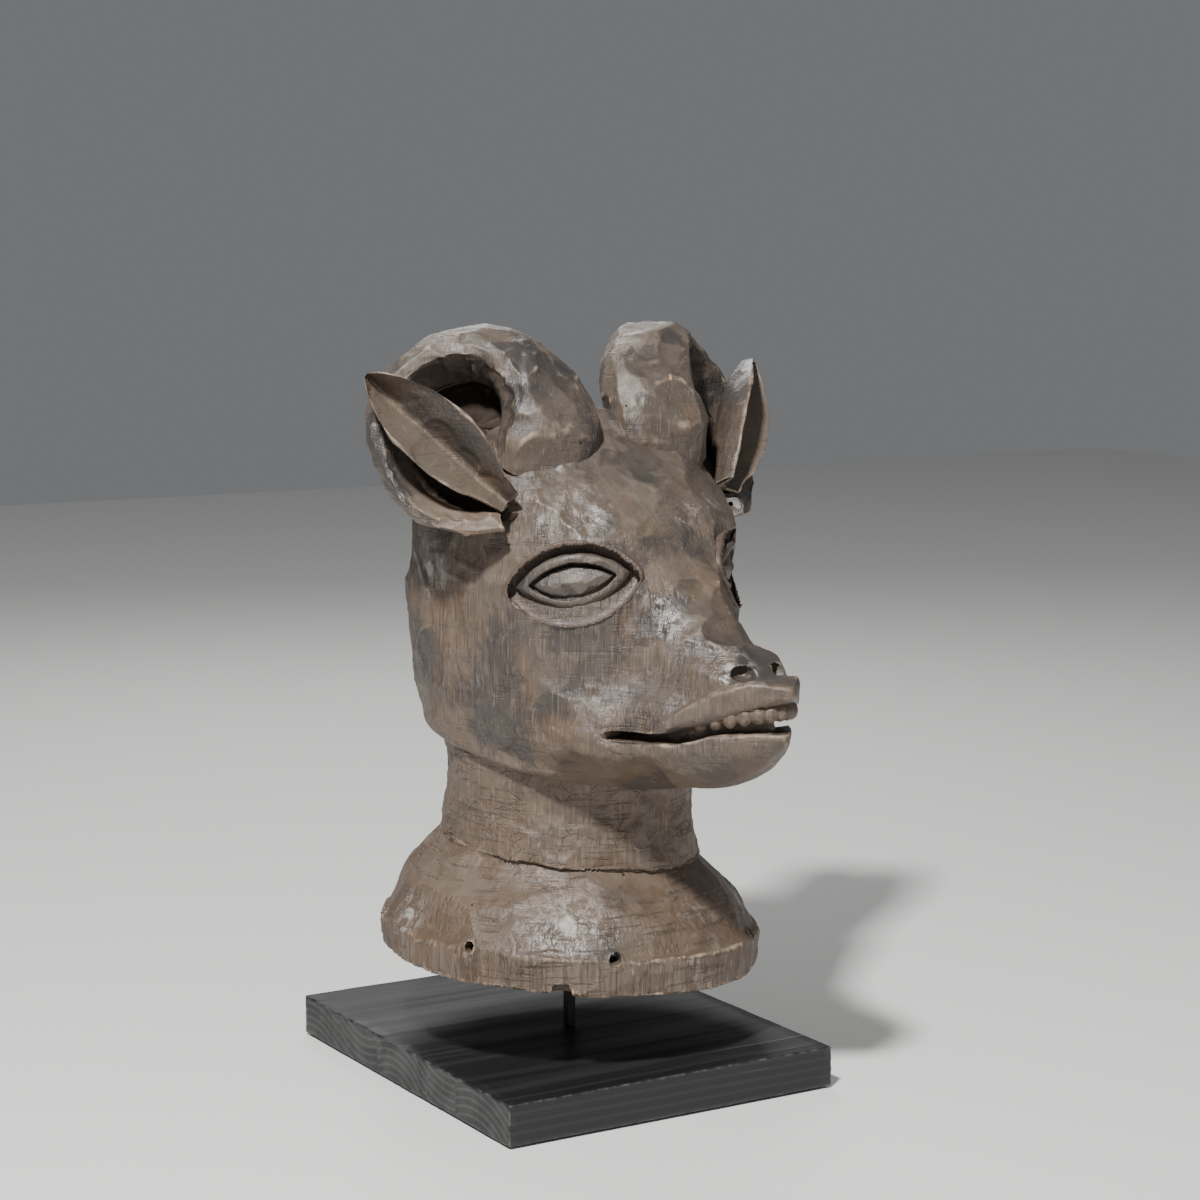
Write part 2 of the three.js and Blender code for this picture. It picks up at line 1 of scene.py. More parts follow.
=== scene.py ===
import math
import bmesh
import bpy
import numpy as np
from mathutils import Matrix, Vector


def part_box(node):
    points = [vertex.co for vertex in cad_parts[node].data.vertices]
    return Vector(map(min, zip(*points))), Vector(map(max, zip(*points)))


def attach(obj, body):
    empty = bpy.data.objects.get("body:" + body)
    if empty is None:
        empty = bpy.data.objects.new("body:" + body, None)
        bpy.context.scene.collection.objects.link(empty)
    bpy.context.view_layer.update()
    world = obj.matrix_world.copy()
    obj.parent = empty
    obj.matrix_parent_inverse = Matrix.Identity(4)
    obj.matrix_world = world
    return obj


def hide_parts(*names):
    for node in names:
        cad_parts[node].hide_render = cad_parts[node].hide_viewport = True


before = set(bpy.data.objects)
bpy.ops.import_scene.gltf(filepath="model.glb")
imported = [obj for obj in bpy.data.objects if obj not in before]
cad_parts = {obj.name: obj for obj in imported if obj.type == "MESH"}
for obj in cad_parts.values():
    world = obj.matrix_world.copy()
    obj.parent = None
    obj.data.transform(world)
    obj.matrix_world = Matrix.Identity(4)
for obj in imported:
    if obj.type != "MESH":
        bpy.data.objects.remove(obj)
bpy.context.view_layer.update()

import openvdb
from mathutils import Vector

# ---- Camera --------------------------------------------------------------------------------------
# A long lens, a little above the mask and off its right cheek, so that the face is seen in
# three-quarter view. The aim is given from the middle of the plinth's underside.
camera_data = bpy.data.cameras.new("camera")
camera = bpy.data.objects.new("camera", camera_data)
bpy.context.scene.collection.objects.link(camera)
bpy.context.scene.camera = camera
camera.location = (-0.9531, -1.6254, 0.5752)
camera_aim = Vector((0.0239, -0.0145, 0.3243))
camera.rotation_euler = (camera_aim - camera.location).to_track_quat("-Z", "Y").to_euler()
camera_data.lens = 83.46
camera_data.sensor_width = 36.0

# ---- Head ----------------------------------------------------------------------------------------
# The cranium, muzzle and jaw of the animal, hewn from the top of one upright log and hollowed from
# below. It is shaped in millimetres in its own frame: x across, y back from the face, z up, and the
# post's axis at x = y = 0. Everything carved from the log is then turned and set on the post.
post_low, post_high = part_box("post")
POST_AXIS = np.array([(post_low[0] + post_high[0]) / 2, (post_low[1] + post_high[1]) / 2])
LIFT = 0.0015 # the felt under the plinth
MASK_TURN = math.radians(8)


def on_post(points):
    """Points of the carving, in its own millimetres, to their place on the post in metres."""
    c, s = math.cos(MASK_TURN), math.sin(MASK_TURN)
    x, y, z = points[:, 0] / 1000, points[:, 1] / 1000, points[:, 2] / 1000
    return np.stack([c * x - s * y + POST_AXIS[0], s * x + c * y + POST_AXIS[1], z + LIFT], axis=1)


def fair(at, places, values):
    """A smooth curve through a few values, as a carver's eye would run between marks."""
    places, values = np.asarray(places, float), np.asarray(values, float)
    at = np.clip(at, places[0], places[-1])
    slope = np.gradient(values, places)
    i = np.clip(np.searchsorted(places, at) - 1, 0, len(places) - 2)
    step = places[i + 1] - places[i]
    t = (at - places[i]) / step
    a = 2 * t ** 3 - 3 * t ** 2 + 1
    b = t ** 3 - 2 * t ** 2 + t
    c = 3 * t ** 2 - 2 * t ** 3
    d = t ** 3 - t ** 2
    return a * values[i] + b * step * slope[i] + c * values[i + 1] + d * step * slope[i + 1]


def blend_join(a, b, round_over):
    """Joins two fields with a fillet."""
    h = np.clip(0.5 + 0.5 * (b - a) / round_over, 0, 1)
    return b * (1 - h) + a * h - round_over * h * (1 - h)


def blend_cut(a, b, round_over):
    """Cuts b out of a and leaves a worn edge."""
    return -blend_join(-a, b, round_over)


def level_field(x, y, z, marks, power):
    """Level sections: marks are height, half width, reach forward, reach back."""
    marks = np.asarray(marks, float)
    half = np.maximum(fair(z, marks[:, 0], marks[:, 1]), 1.0)
    front = np.maximum(fair(z, marks[:, 0], marks[:, 2]), 1.0)
    back = np.maximum(fair(z, marks[:, 0], marks[:, 3]), 1.0)
    deep = np.where(y < 0, front, back)
    size = ((np.abs(x) / half) ** power + (np.abs(y) / deep) ** power) ** (1 / power)
    beyond = np.maximum(z - marks[-1, 0], marks[0, 0] - z)
    return np.maximum((size - 1) * np.minimum(half, deep), beyond)


def muzzle_field(x, y, z, marks, power):
    """Upright sections along the muzzle: marks are reach, top, bottom, half width."""
    marks = np.asarray(marks, float)
    reach = -y
    top, bottom = fair(reach, marks[:, 0], marks[:, 1]), fair(reach, marks[:, 0], marks[:, 2])
    half = np.maximum(fair(reach, marks[:, 0], marks[:, 3]), 0.6)
    middle, tall = (top + bottom) / 2, np.maximum((top - bottom) / 2, 0.6)
    size = ((np.abs(x) / half) ** power + (np.abs(z - middle) / tall) ** power) ** (1 / power)
    beyond = np.maximum(reach - marks[-1, 0], marks[0, 0] - reach)
    return np.maximum((size - 1) * np.minimum(half, tall), beyond)


def hew(field, low, high, voxel):
    """Meshes the inside of a field, between two corners. Returns corners and four-sided faces."""
    axes = [np.arange(low[i], high[i] + voxel, voxel, dtype=np.float32) for i in range(3)]
    x, y, z = axes[0][:, None, None], axes[1][None, :, None], axes[2][None, None, :]
    values = np.broadcast_to(field(x, y, z), [len(a) for a in axes]).astype(np.float32)
    grid = openvdb.FloatGrid(float(voxel * 3))
    grid.copyFromArray(np.ascontiguousarray(np.clip(values, -3 * voxel, 3 * voxel)))
    points, quads = grid.convertToQuads(isovalue=0.0)
    points = points.astype(np.float64) * voxel + np.array(low)
    quads = quads.astype(np.int64)
    a, b, c = points[quads[:, 0]], points[quads[:, 1]], points[quads[:, 2]]
    if np.einsum("ij,ij->", a, np.cross(b, c)) < 0:
        quads = quads[:, ::-1]
    return points, quads


def outward(points, quads):
    """The outward direction at each point."""
    across = np.cross(points[quads[:, 2]] - points[quads[:, 0]], points[quads[:, 3]] - points[quads[:, 1]])
    total = np.zeros_like(points)
    for k in range(4):
        for axis in range(3):
            total[:, axis] += np.bincount(quads[:, k], across[:, axis], len(points))
    return total / np.maximum(np.linalg.norm(total, axis=1, keepdims=True), 1e-9)


def neighbours_mean(values, quads):
    """The mean of each point's neighbours, for one value or three."""
    one = values.ndim == 1
    values = values[:, None] if one else values
    total, count = np.zeros_like(values), np.zeros(len(values))
    for k in range(4):
        a, b = quads[:, k], quads[:, (k + 1) % 4]
        count += np.bincount(a, minlength=len(values)) + np.bincount(b, minlength=len(values))
        for axis in range(values.shape[1]):
            total[:, axis] += np.bincount(a, values[b, axis], len(values))
            total[:, axis] += np.bincount(b, values[a, axis], len(values))
    mean = total / np.maximum(count, 1)[:, None]
    return mean[:, 0] if one else mean


def rub(values, quads, times, share=0.6):
    """Wears a surface, or a value on it, smooth."""
    for _ in range(times):
        values = values + share * (neighbours_mean(values, quads) - values)
    return values


def sway(points, size, seed, waves=14):
    """A slow wandering value from -1 to 1 over the log, size millimetres across."""
    draw = np.random.RandomState(seed)
    way = draw.normal(size=(waves, 3))
    way *= (2 * math.pi / size) / np.linalg.norm(way, axis=1, keepdims=True)
    way *= draw.uniform(0.6, 1.5, (waves, 1))
    start = draw.uniform(0, 2 * math.pi, waves)
    return np.sin(points @ way.T + start).sum(axis=1) / math.sqrt(waves) * 0.9


LOWERED = []


def adze(points, quads, blows, bite, span, seed, where=None, tilt=0.06, lowered=None, lean=0.75):
    """Flat blows of an adze: each takes off what stands above its own plane, fading out towards its
    span. Points that are lowered go down as far as the rest on average. Returns the cut surface and,
    from 0 to 1, the tone of the blow that cut each point last."""
    draw = np.random.RandomState(seed)
    normal = outward(points, quads)
    soft = rub(normal, quads, 8)
    soft /= np.maximum(np.linalg.norm(soft, axis=1, keepdims=True), 1e-9)
    pool = np.arange(len(points)) if where is None else np.nonzero(where > 0.5)[0]
    spots = draw.choice(pool, min(blows, len(pool)), replace=False)
    at, facing = points[spots], soft[spots] + draw.normal(scale=tilt, size=(len(spots), 3))
    facing /= np.linalg.norm(facing, axis=1, keepdims=True)
    depth = bite * draw.uniform(0.35, 1.0, len(spots))
    level = np.einsum("ij,ij->i", at, facing)
    cut, which = np.zeros(len(points)), np.full(len(points), -1)
    for start in range(0, len(points), 20000):
        p, n = points[start:start + 20000], normal[start:start + 20000]
        above = np.minimum(p @ facing.T - level + depth, 1.3 * bite)
        apart = (p ** 2).sum(1)[:, None] + (at ** 2).sum(1) - 2 * p @ at.T
        above *= np.clip(2.2 - 2.2 * apart / span ** 2, 0, 1) * (n @ facing.T > lean)
        best = above.argmax(axis=1)
        value = above[np.arange(len(p)), best]
        cut[start:start + 20000] = value
        which[start:start + 20000] = np.where(value > 0.02, best, -1)
    if where is not None:
        mean = cut[pool].mean()
        cut *= rub(where.astype(float), quads, 4)
        if lowered is not None:
            cut += mean * lowered
            LOWERED.append(mean)
    tone = draw.uniform(0, 1, len(spots) + 1)
    tone[-1] = 0.5
    return points - soft * cut[:, None], tone[which]


def timber(name, points, quads, tone, dust_and_painted_shade=0.0, spots=()):
    """Makes the carved piece: worn on its edges, with dust in its hollows and painted shade in the deepest of
    them, worn pale at its spots with painted highlights there, with a tone for each blow (on the ears also
    painted light on the lower blade) and fibres that show where its face runs with the grain."""
    # Pale worn spots, which also stand as painted highlights.
    rubbed_and_highlight = np.zeros(len(points))
    for spot in spots:
        rubbed_and_highlight = np.maximum(rubbed_and_highlight, 1 - np.linalg.norm(points - spot[:3], axis=1) / spot[3])
    normal = outward(points, quads)
    bend = np.einsum("ij,ij->i", points - neighbours_mean(points, quads), normal)
    edge = rub(bend, quads, 2)
    # How deep each point lies in a hollow, plus any extra depth given. The material paints the deepest near
    # black as shade.
    far = rub(points, quads, 45)
    sunk = np.einsum("ij,ij->i", far - points, normal) + dust_and_painted_shade
    split = np.clip(1.25 - 1.6 * np.abs(rub(normal[:, 2], quads, 2)), 0, 1)
    mesh = bpy.data.meshes.new(name)
    world = on_post(points)
    mesh.vertices.add(len(world))
    mesh.vertices.foreach_set("co", world.astype(np.float32).ravel())
    mesh.loops.add(len(quads) * 4)
    mesh.loops.foreach_set("vertex_index", quads.astype(np.int32).ravel())
    mesh.polygons.add(len(quads))
    mesh.polygons.foreach_set("loop_start", np.arange(0, len(quads) * 4, 4, dtype=np.int32))
    mesh.update(calc_edges=True)
    mesh.validate()
    mesh.polygons.foreach_set("use_smooth", np.ones(len(mesh.polygons), bool))
    for label, value in (("edge", edge), ("sunk", sunk), ("tone", tone), ("split", split),
                         ("rubbed_and_highlight", rubbed_and_highlight)):
        layer = mesh.attributes.new(label, "FLOAT", "POINT")
        layer.data.foreach_set("value", value.astype(np.float32))
    piece = bpy.data.objects.new(name, mesh)
    bpy.context.scene.collection.objects.link(piece)
    return piece


HOLLOW_TOP = 400.0
CRANIUM = [ # height, half width, reach forward, reach back
    (205, 78, 84, 76), (235, 92, 106, 86), (261, 99, 113, 95), (299, 104, 116, 103), (335, 106, 116, 105),
    (365, 106, 110, 99), (393, 104, 95, 91), (413, 98, 78, 82), (431, 84, 62, 72), (446, 62, 48, 54),
    (455, 38, 40, 36), (459.5, 8, 30, 10),
]
SNOUT = [ # reach, top, bottom, half width
    (43, 425, 240, 78), (90, 404, 236, 68), (120, 366, 232, 47), (135, 350, 236, 41), (150, 336, 246, 36),
    (163, 325, 256, 33), (174, 317, 266, 31), (184, 311, 275, 28), (191, 306, 283, 23), (197, 301, 288, 14),
    (201, 297, 291, 5),
]
JAW = [
    (32, 300, 212, 92), (90, 300, 210, 84), (120, 299, 212, 68), (150, 296, 217, 51), (165, 292, 221, 43),
    (180, 290, 227, 35), (195, 286, 236, 25), (207, 280, 246, 14), (213, 276, 252, 8), (218, 270, 257, 2),
]
MOUTH = [ # reach, lower lip, upper edge
    (118, 255.3, 257.2), (135, 254.8, 258.2), (150, 253.4, 259.5), (160, 252.8, 263), (170, 256, 268),
    (180, 259.5, 274), (200, 262, 285), (215, 262.5, 294), (220, 262.5, 300),
]
UPPER_LIP = [
    (143, 264, 258.5, 51.5), (157, 271, 259.5, 48.5), (166, 278.5, 262, 45), (178, 286.5, 266, 40),
    (190, 293, 270, 33), (202, 296.5, 275, 25.5), (210, 296.5, 279, 17.5), (217, 295, 282, 10),
    (222.5, 291.5, 285, 3),
]
PALATE = [
    (100, 284, 250, 54), (150, 284, 250, 38), (180, 286, 250, 21), (197, 288, 252, 9), (203, 288, 256, 3),
]
MOUTH_CORNER = 118.0
EYE_AT = np.array([70.0, -91.0, 351.0])
EYE_TURN, EYE_TILT = math.radians(43), math.radians(8)


def eye_axes():
    """Along the left eye from its outer corner inwards, up across it, and out of the face."""
    ct, st, cl, sl = math.cos(EYE_TURN), math.sin(EYE_TURN), math.cos(EYE_TILT), math.sin(EYE_TILT)
    inward = np.array([-cl * ct, -cl * st, sl])
    out = np.array([st, -ct, 0.0])
    up = np.cross(inward, out)
    return inward, up * np.sign(up[2]), out


def eye_frame(x, y, z):
    """How far a point lies along, up and out from the middle of the nearer eye."""
    inward, up, out = eye_axes()
    dx, dy, dz = np.abs(x) - EYE_AT[0], y - EYE_AT[1], z - EYE_AT[2]
    return tuple(dx * v[0] + dy * v[1] + dz * v[2] for v in (inward, up, out))


def lens_field(u, v, half_long, half_tall):
    """An almond outline, pointed at both ends: negative inside."""
    radius = (half_long ** 2 + half_tall ** 2) / (2 * half_tall)
    return np.sqrt(u ** 2 + (np.abs(v) + radius - half_tall) ** 2) - radius


def hollow_field(x, y, z):
    marks = [(30, 73, 73, 73), (222, 73, 73, 73), (268, 77, 77, 77), (345, 80, 80, 80), (382, 66, 66, 66),
             (396, 46, 46, 46), (HOLLOW_TOP, 38, 38, 38)]
    return level_field(x, y, z, marks, 2)


def face_floor(u, v):
    """How far out the eye socket's floor lies: deep under the brow, level with the cheek below."""
    return -4.6 - 0.25 * v - 0.0045 * u ** 2


def head_field(x, y, z):
    cranium = level_field(x, y, z, CRANIUM, 2.55)
    snout = muzzle_field(x, y, z, SNOUT, 2.3)
    jaw = muzzle_field(x, y, z, JAW, 2.2)
    body = blend_join(blend_join(cranium, snout, 22), jaw, 9)
    mouth = np.asarray(MOUTH, float)
    gap = np.maximum(fair(-y, mouth[:, 0], mouth[:, 1]) - z, z - fair(-y, mouth[:, 0], mouth[:, 2]))
    body = blend_cut(body, np.maximum(gap, y + MOUTH_CORNER), 1.0)
    body = blend_join(body, muzzle_field(x, y, z, UPPER_LIP, 6), 2)
    body = np.minimum(body, muzzle_field(x, y, z, PALATE, 4))
    u, v, w = eye_frame(x, y, z)
    socket = np.maximum(lens_field(u, v + 1.5, 42.5, 24), np.maximum(face_floor(u, v) - w, w - 30))
    body = blend_cut(body, socket, 1.0)
    nostril = np.sqrt((np.abs(x) - 15) ** 2 + ((y + 194) / 1.3) ** 2 + ((z - 298.5) / 0.7) ** 2) - 7.5
    body = blend_cut(body, nostril, 1.0)
    chip = (x * -0.62 - y * 0.55 + z * 0.56) - (22 * 0.62 + 186 * 0.55 + 305 * 0.56) + 1.5
    chip = np.maximum(-chip, np.sqrt((x + 23) ** 2 + (y + 186) ** 2 + (z - 305) ** 2) - 11)
    body = blend_cut(body, chip, 0.8)
    above_neck = 0.98 * (z - (229.5 + 0.19 * y))
    body = blend_cut(body, above_neck, 7.0)
    return np.maximum(body, -hollow_field(x, y, z))


FINE = 1.0
points, quads = hew(head_field, (-112, -226, 190), (112, 112, 466), 1.5 * FINE)
inside = hollow_field(*points.T) < 4
u, v, w = eye_frame(*points.T)
near_eye = (lens_field(u, v + 1.5, 43, 25) < 0) & (w > -22)
near_eye = rub(near_eye.astype(float), quads, 8)
reach, height = -points[:, 1], points[:, 2]


def ease(t, low, high):
    t = np.clip((t - low) / (high - low), 0, 1)
    return t * t * (3 - 2 * t)


mouth = np.maximum(ease(reach, 132, 165) * ease(height, 312, 292), ease(reach, 184, 200))
above_crease = ease(height - 0.19 * points[:, 1], 231, 240)
plain = ~inside * (1 - near_eye) * (1 - mouth) * above_crease
points = rub(points, quads, 2)
points += outward(points, quads) * (sway(points, 80, 4) * 1.2 * plain)[:, None]
points, tone = adze(points, quads, 230, 3.0, 42, 11, plain, 0.09, near_eye)
points, tone_small = adze(points, quads, 560, 1.3, 22, 12, plain, 0.09, near_eye)
points, tone_fine = adze(points, quads, 900, 0.35, 10, 14, plain, 0.10, near_eye)
points = adze(points, quads, 200, 0.6, 11, 13, mouth * ~inside, 0.1)[0]
tone = 0.4 * tone + 0.4 * tone_small + 0.2 * tone_fine
# Pale worn spots, which also carry painted highlights.
WORN_AND_HIGHLIGHT_SPOTS = [ # across, back, height, size
    (-59, -88, 399, 30), (-72, -70, 385, 14), (-34, -130, 340, 16), (-28, -140, 326, 14),
    (-23, -152, 313, 10), (-21, -186, 306, 24), (-100, 20, 352, 26), (20, -104, 392, 16),
    (58, -88, 404, 18), (60, 78, 390, 22),
]
head = timber("carved_head", points, quads, tone, 0, WORN_AND_HIGHLIGHT_SPOTS)


class Paint:
    """A procedural finish, built up in coats."""

    def __init__(self, name):
        self.material = bpy.data.materials.new(name)
        self.material.use_nodes = True
        self.tree = self.material.node_tree
        self.shader = self.tree.nodes["Principled BSDF"]
        self.place = self.tree.nodes.new("ShaderNodeTexCoord").outputs["Object"]

    def feed(self, socket, value):
        if isinstance(value, bpy.types.NodeSocket):
            self.tree.links.new(value, socket)
        elif isinstance(value, tuple) and socket.type == "RGBA":
            socket.default_value = value + (1,)
        else:
            socket.default_value = value

    def stretched(self, x, y, z, shift=0.0, turn=(0, 0, 0)):
        node = self.tree.nodes.new("ShaderNodeMapping")
        self.feed(node.inputs["Vector"], self.place)
        node.inputs["Scale"].default_value = (x, y, z)
        node.inputs["Rotation"].default_value = turn
        node.inputs["Location"].default_value = (shift, shift * 0.7, shift * 1.3)
        return node.outputs["Vector"]

    def noise(self, scale, detail=3.0, at=None, rough=0.55, bend=0.0):
        node = self.tree.nodes.new("ShaderNodeTexNoise")
        self.feed(node.inputs["Vector"], at or self.place)
        node.inputs["Scale"].default_value = scale
        node.inputs["Detail"].default_value = detail
        node.inputs["Roughness"].default_value = rough
        node.inputs["Distortion"].default_value = bend
        return node.outputs["Fac"]

    def cells(self, scale, at=None, edges=False):
        node = self.tree.nodes.new("ShaderNodeTexVoronoi")
        if edges:
            node.feature = "DISTANCE_TO_EDGE"
        self.feed(node.inputs["Vector"], at or self.place)
        node.inputs["Scale"].default_value = scale
        return node.outputs["Distance"]

    def ramp(self, value, low, high, start=0.0, end=1.0):
        node = self.tree.nodes.new("ShaderNodeMapRange")
        node.interpolation_type = "SMOOTHSTEP"
        for socket, given in zip(node.inputs, (value, low, high, start, end)):
            self.feed(socket, given)
        return node.outputs["Result"]

    def sum(self, kind, a, b):
        node = self.tree.nodes.new("ShaderNodeMath")
        node.operation = kind
        self.feed(node.inputs[0], a)
        self.feed(node.inputs[1], b)
        return node.outputs["Value"]

    def mix(self, share, a, b, kind="MIX"):
        node = self.tree.nodes.new("ShaderNodeMix")
        node.data_type = "RGBA"
        node.blend_type = kind
        self.feed(node.inputs[0], share)
        self.feed(node.inputs[6], a)
        self.feed(node.inputs[7], b)
        return node.outputs[2]

    def carried(self, name):
        node = self.tree.nodes.new("ShaderNodeAttribute")
        node.attribute_name = name
        return node.outputs["Fac"]

    def axis(self, name):
        node = self.tree.nodes.new("ShaderNodeSeparateXYZ")
        self.feed(node.inputs[0], self.place)
        return node.outputs[name]

    def finish(self, colour, rough, relief=None, height=0.0003, strength=0.6):
        self.feed(self.shader.inputs["Base Color"], colour)
        self.feed(self.shader.inputs["Roughness"], rough)
        if relief is not None:
            bump = self.tree.nodes.new("ShaderNodeBump")
            bump.inputs["Strength"].default_value = strength
            bump.inputs["Distance"].default_value = height
            self.feed(bump.inputs["Height"], relief)
            self.feed(self.shader.inputs["Normal"], bump.outputs["Normal"])
        return self.material


def aged_wood(name, stained=0.8, fibrous=0.5, scuffed=0.6, warmth=0.5, shift=0.0, scored=0.3,
              checked=0.08):
    """Old handled wood: a grey-brown skin with slate-dark stains, red-brown dust in its hollows and painted
    shade, near black, in the deepest of them, tan worn edges and pale scuffs that are partly painted
    highlights, upright fibres where the skin has gone, fine lines scored across them by the blade, and short
    drying checks."""
    p = Paint(name)
    tone, edge, sunk, split, rubbed_and_highlight = (p.carried(k) for k in ("tone", "edge", "sunk", "split", "rubbed_and_highlight"))
    moved = p.stretched(1, 1, 1, shift)
    cloud = p.noise(10, 4, moved, 0.6)
    fleck = p.noise(90, 5, moved, 0.66)
    fibre = p.noise(900, 2, p.stretched(1, 1, 0.03, shift), 0.6)
    strand = p.noise(300, 3, p.stretched(1, 1, 0.05, shift + 3), 0.6)
    low = p.ramp(p.axis("Z"), 0.36, 0.20)
    start = 0.52 - 0.12 * warmth
    bare = p.ramp(p.sum("ADD", cloud, p.sum("MULTIPLY", low, 0.14)), start, 0.70 - 0.12 * warmth)
    colour = p.mix(bare, (0.050, 0.040, 0.033), (0.093, 0.060, 0.038))
    # Each blow's tone lightens its facet at random. On the ears the tone also carries painted light on the
    # lower blade.
    lit = p.sum("ADD", p.sum("MULTIPLY", tone, 0.85), p.sum("MULTIPLY", fleck, 0.4))
    colour = p.mix(p.ramp(lit, 0.25, 0.95, 0, 0.6), colour, (0.132, 0.102, 0.077))
    dark = p.sum("ADD", p.noise(15, 3, p.stretched(1, 1, 1, shift + 9)), p.sum("MULTIPLY", fleck, 0.22))
    dark = p.sum("SUBTRACT", dark, p.sum("MULTIPLY", tone, 0.22))
    stain = p.sum("MULTIPLY", p.ramp(dark, 0.50, 0.68), stained)
    colour = p.mix(stain, colour, (0.034, 0.030, 0.028))
    grain = p.ramp(p.noise(7, 2, p.stretched(1, 1, 1, shift + 13)), 0.42, 0.62, 0.25 * fibrous, fibrous)
    grain = p.sum("MULTIPLY", grain, split)
    colour = p.mix(p.sum("MULTIPLY", p.ramp(strand, 0.50, 0.68), grain), colour, (0.044, 0.028, 0.018))
    lifted = p.sum("MULTIPLY", p.ramp(fibre, 0.5, 0.75, 0, 0.4), split)
    colour = p.mix(lifted, colour, (0.255, 0.190, 0.135))
    colour = p.mix(p.ramp(sunk, 0.8, 4.0, 0, 0.75), colour, (0.080, 0.045, 0.030))
    # Painted shade: the deepest hollows turn near black.
    colour = p.mix(p.ramp(sunk, 4.5, 9.0, 0, 0.85), colour, (0.022, 0.014, 0.010))
    worn = p.sum("MULTIPLY", p.ramp(edge, 0.05, 0.22), p.ramp(fleck, 0.36, 0.60, 0, 0.8))
    colour = p.mix(worn, colour, (0.360, 0.270, 0.195))
    stray = p.ramp(p.noise(10, 2, p.stretched(1, 1, 1, shift + 21)), 0.60, 0.70, 0, 0.5)
    places = p.sum("MAXIMUM", p.ramp(rubbed_and_highlight, 0.0, 0.45), stray)
    places = p.sum("MULTIPLY", places, p.ramp(sunk, 0.8, 3.0, 1, 0))
    streaks = p.noise(150, 7, p.stretched(1, 1, 0.35, shift), 0.8)
    # Pale scuffs in stray streaks and at the worn spots: wear, and at the spots also painted highlights.
    scuff_and_highlight = p.sum("MULTIPLY", places, p.ramp(streaks, 0.49, 0.58))
    colour = p.mix(p.sum("MULTIPLY", scuff_and_highlight, 0.75 * scuffed), colour, (0.30, 0.275, 0.25))
    # The middles of the worn spots go paler still: worn wood and a painted highlight.
    core = p.ramp(p.sum("ADD", rubbed_and_highlight, p.sum("MULTIPLY", fleck, 0.5)), 0.98, 1.10, 0, 0.8)
    colour = p.mix(core, colour, (0.36, 0.33, 0.30))
    line = p.noise(420, 3, p.stretched(0.07, 0.07, 1, shift + 6, (0.12, 0.2, 0)), 0.6, 0.4)
    patches = p.ramp(p.noise(22, 3, moved), 0.42, 0.58, 0, scored)
    line = p.sum("MULTIPLY", p.ramp(line, 0.54, 0.64), patches)
    colour = p.mix(p.sum("MULTIPLY", line, 0.6), colour, (0.035, 0.024, 0.017))
    check = p.ramp(p.cells(85, p.stretched(0.8, 0.8, 1.3, shift + 8), True), 0.0, 0.030, 1, 0)
    dry = p.ramp(p.noise(60, 4, p.stretched(1, 1, 1, shift + 4)), 0.46, 0.60, 0, checked)
    check = p.sum("MULTIPLY", check, dry)
    colour = p.mix(check, colour, (0.016, 0.011, 0.008))
    chip = p.ramp(p.noise(160, 2, p.stretched(1, 1, 0.35, shift + 5)), 0.70, 0.73)
    colour = p.mix(p.sum("MULTIPLY", chip, p.ramp(edge, 0.02, 0.10, 0.04, 0.9)), colour, (0.44, 0.26, 0.13))
    bored = p.ramp(p.cells(26, p.stretched(1, 1, 1, shift + 2)), 0.022, 0.034, 1, 0)
    colour = p.mix(bored, colour, (0.010, 0.007, 0.005))
    shine = p.sum("ADD", p.sum("MULTIPLY", stain, 0.10), p.sum("MULTIPLY", places, 0.14))
    rough = p.sum("SUBTRACT", p.ramp(fleck, 0.3, 0.7, 0.42, 0.64), shine)
    rough = p.sum("MAXIMUM", rough, p.ramp(sunk, 1.5, 6.0, 0.3, 0.95))
    relief = p.sum("MULTIPLY", p.sum("MULTIPLY", fibre, split), 0.4)
    relief = p.sum("ADD", relief, p.sum("MULTIPLY", fleck, 0.7))
    ridges = p.sum("MULTIPLY", p.ramp(strand, 0.45, 0.65, 1, 0), split)
    relief = p.sum("ADD", relief, p.sum("MULTIPLY", ridges, 1.1 * fibrous))
    pits = p.sum("ADD", p.sum("MULTIPLY", bored, 2), p.sum("MULTIPLY", check, 1.5))
    relief = p.sum("SUBTRACT", relief, pits)
    relief = p.sum("SUBTRACT", relief, p.sum("MULTIPLY", line, 0.8))
    return p.finish(colour, rough, relief, 0.0011, 0.8)


head.data.materials.append(aged_wood("head_wood"))
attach(head, "mask")
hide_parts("head")

# ---- Eyes ----------------------------------------------------------------------------------------
# Each eye is left standing in its socket: two lids that meet in points at the corners, and between
# them, behind a narrow cut, a ball flattened by a few strokes of the knife.


def lids_field(u, v, w):
    bow = -0.0048 * u ** 2
    top = 2.2 + bow
    outline = lens_field(u, v, 37.5, 17.6)
    ring = np.maximum(outline, -lens_field(u, v, 28.6, 11.6))
    slope = (w - top) + 0.5 * np.maximum(outline + 3.0, 0) - 0.08 * v
    return np.maximum(np.maximum(ring, slope), face_floor(u, v) - 4 - w)


def ball_field(u, v, w):
    dome = w - (2.8 - 0.0085 * u ** 2 - 0.034 * v ** 2)
    facets = np.maximum(w + 0.42 * v - 2.9 + 0.008 * u ** 2, w - 0.40 * (v + 2) - 3.0 + 0.008 * u ** 2)
    body = np.maximum(np.maximum(dome, facets), lens_field(u, v, 26.2, 9.7))
    return np.maximum(body, face_floor(u, v) - 5 - w)


def placed_eye(local, side):
    inward, up, out = eye_axes()
    placed = EYE_AT + local[:, :1] * inward + local[:, 1:2] * up + (local[:, 2:] - sum(LOWERED)) * out
    placed[:, 0] *= side
    return placed


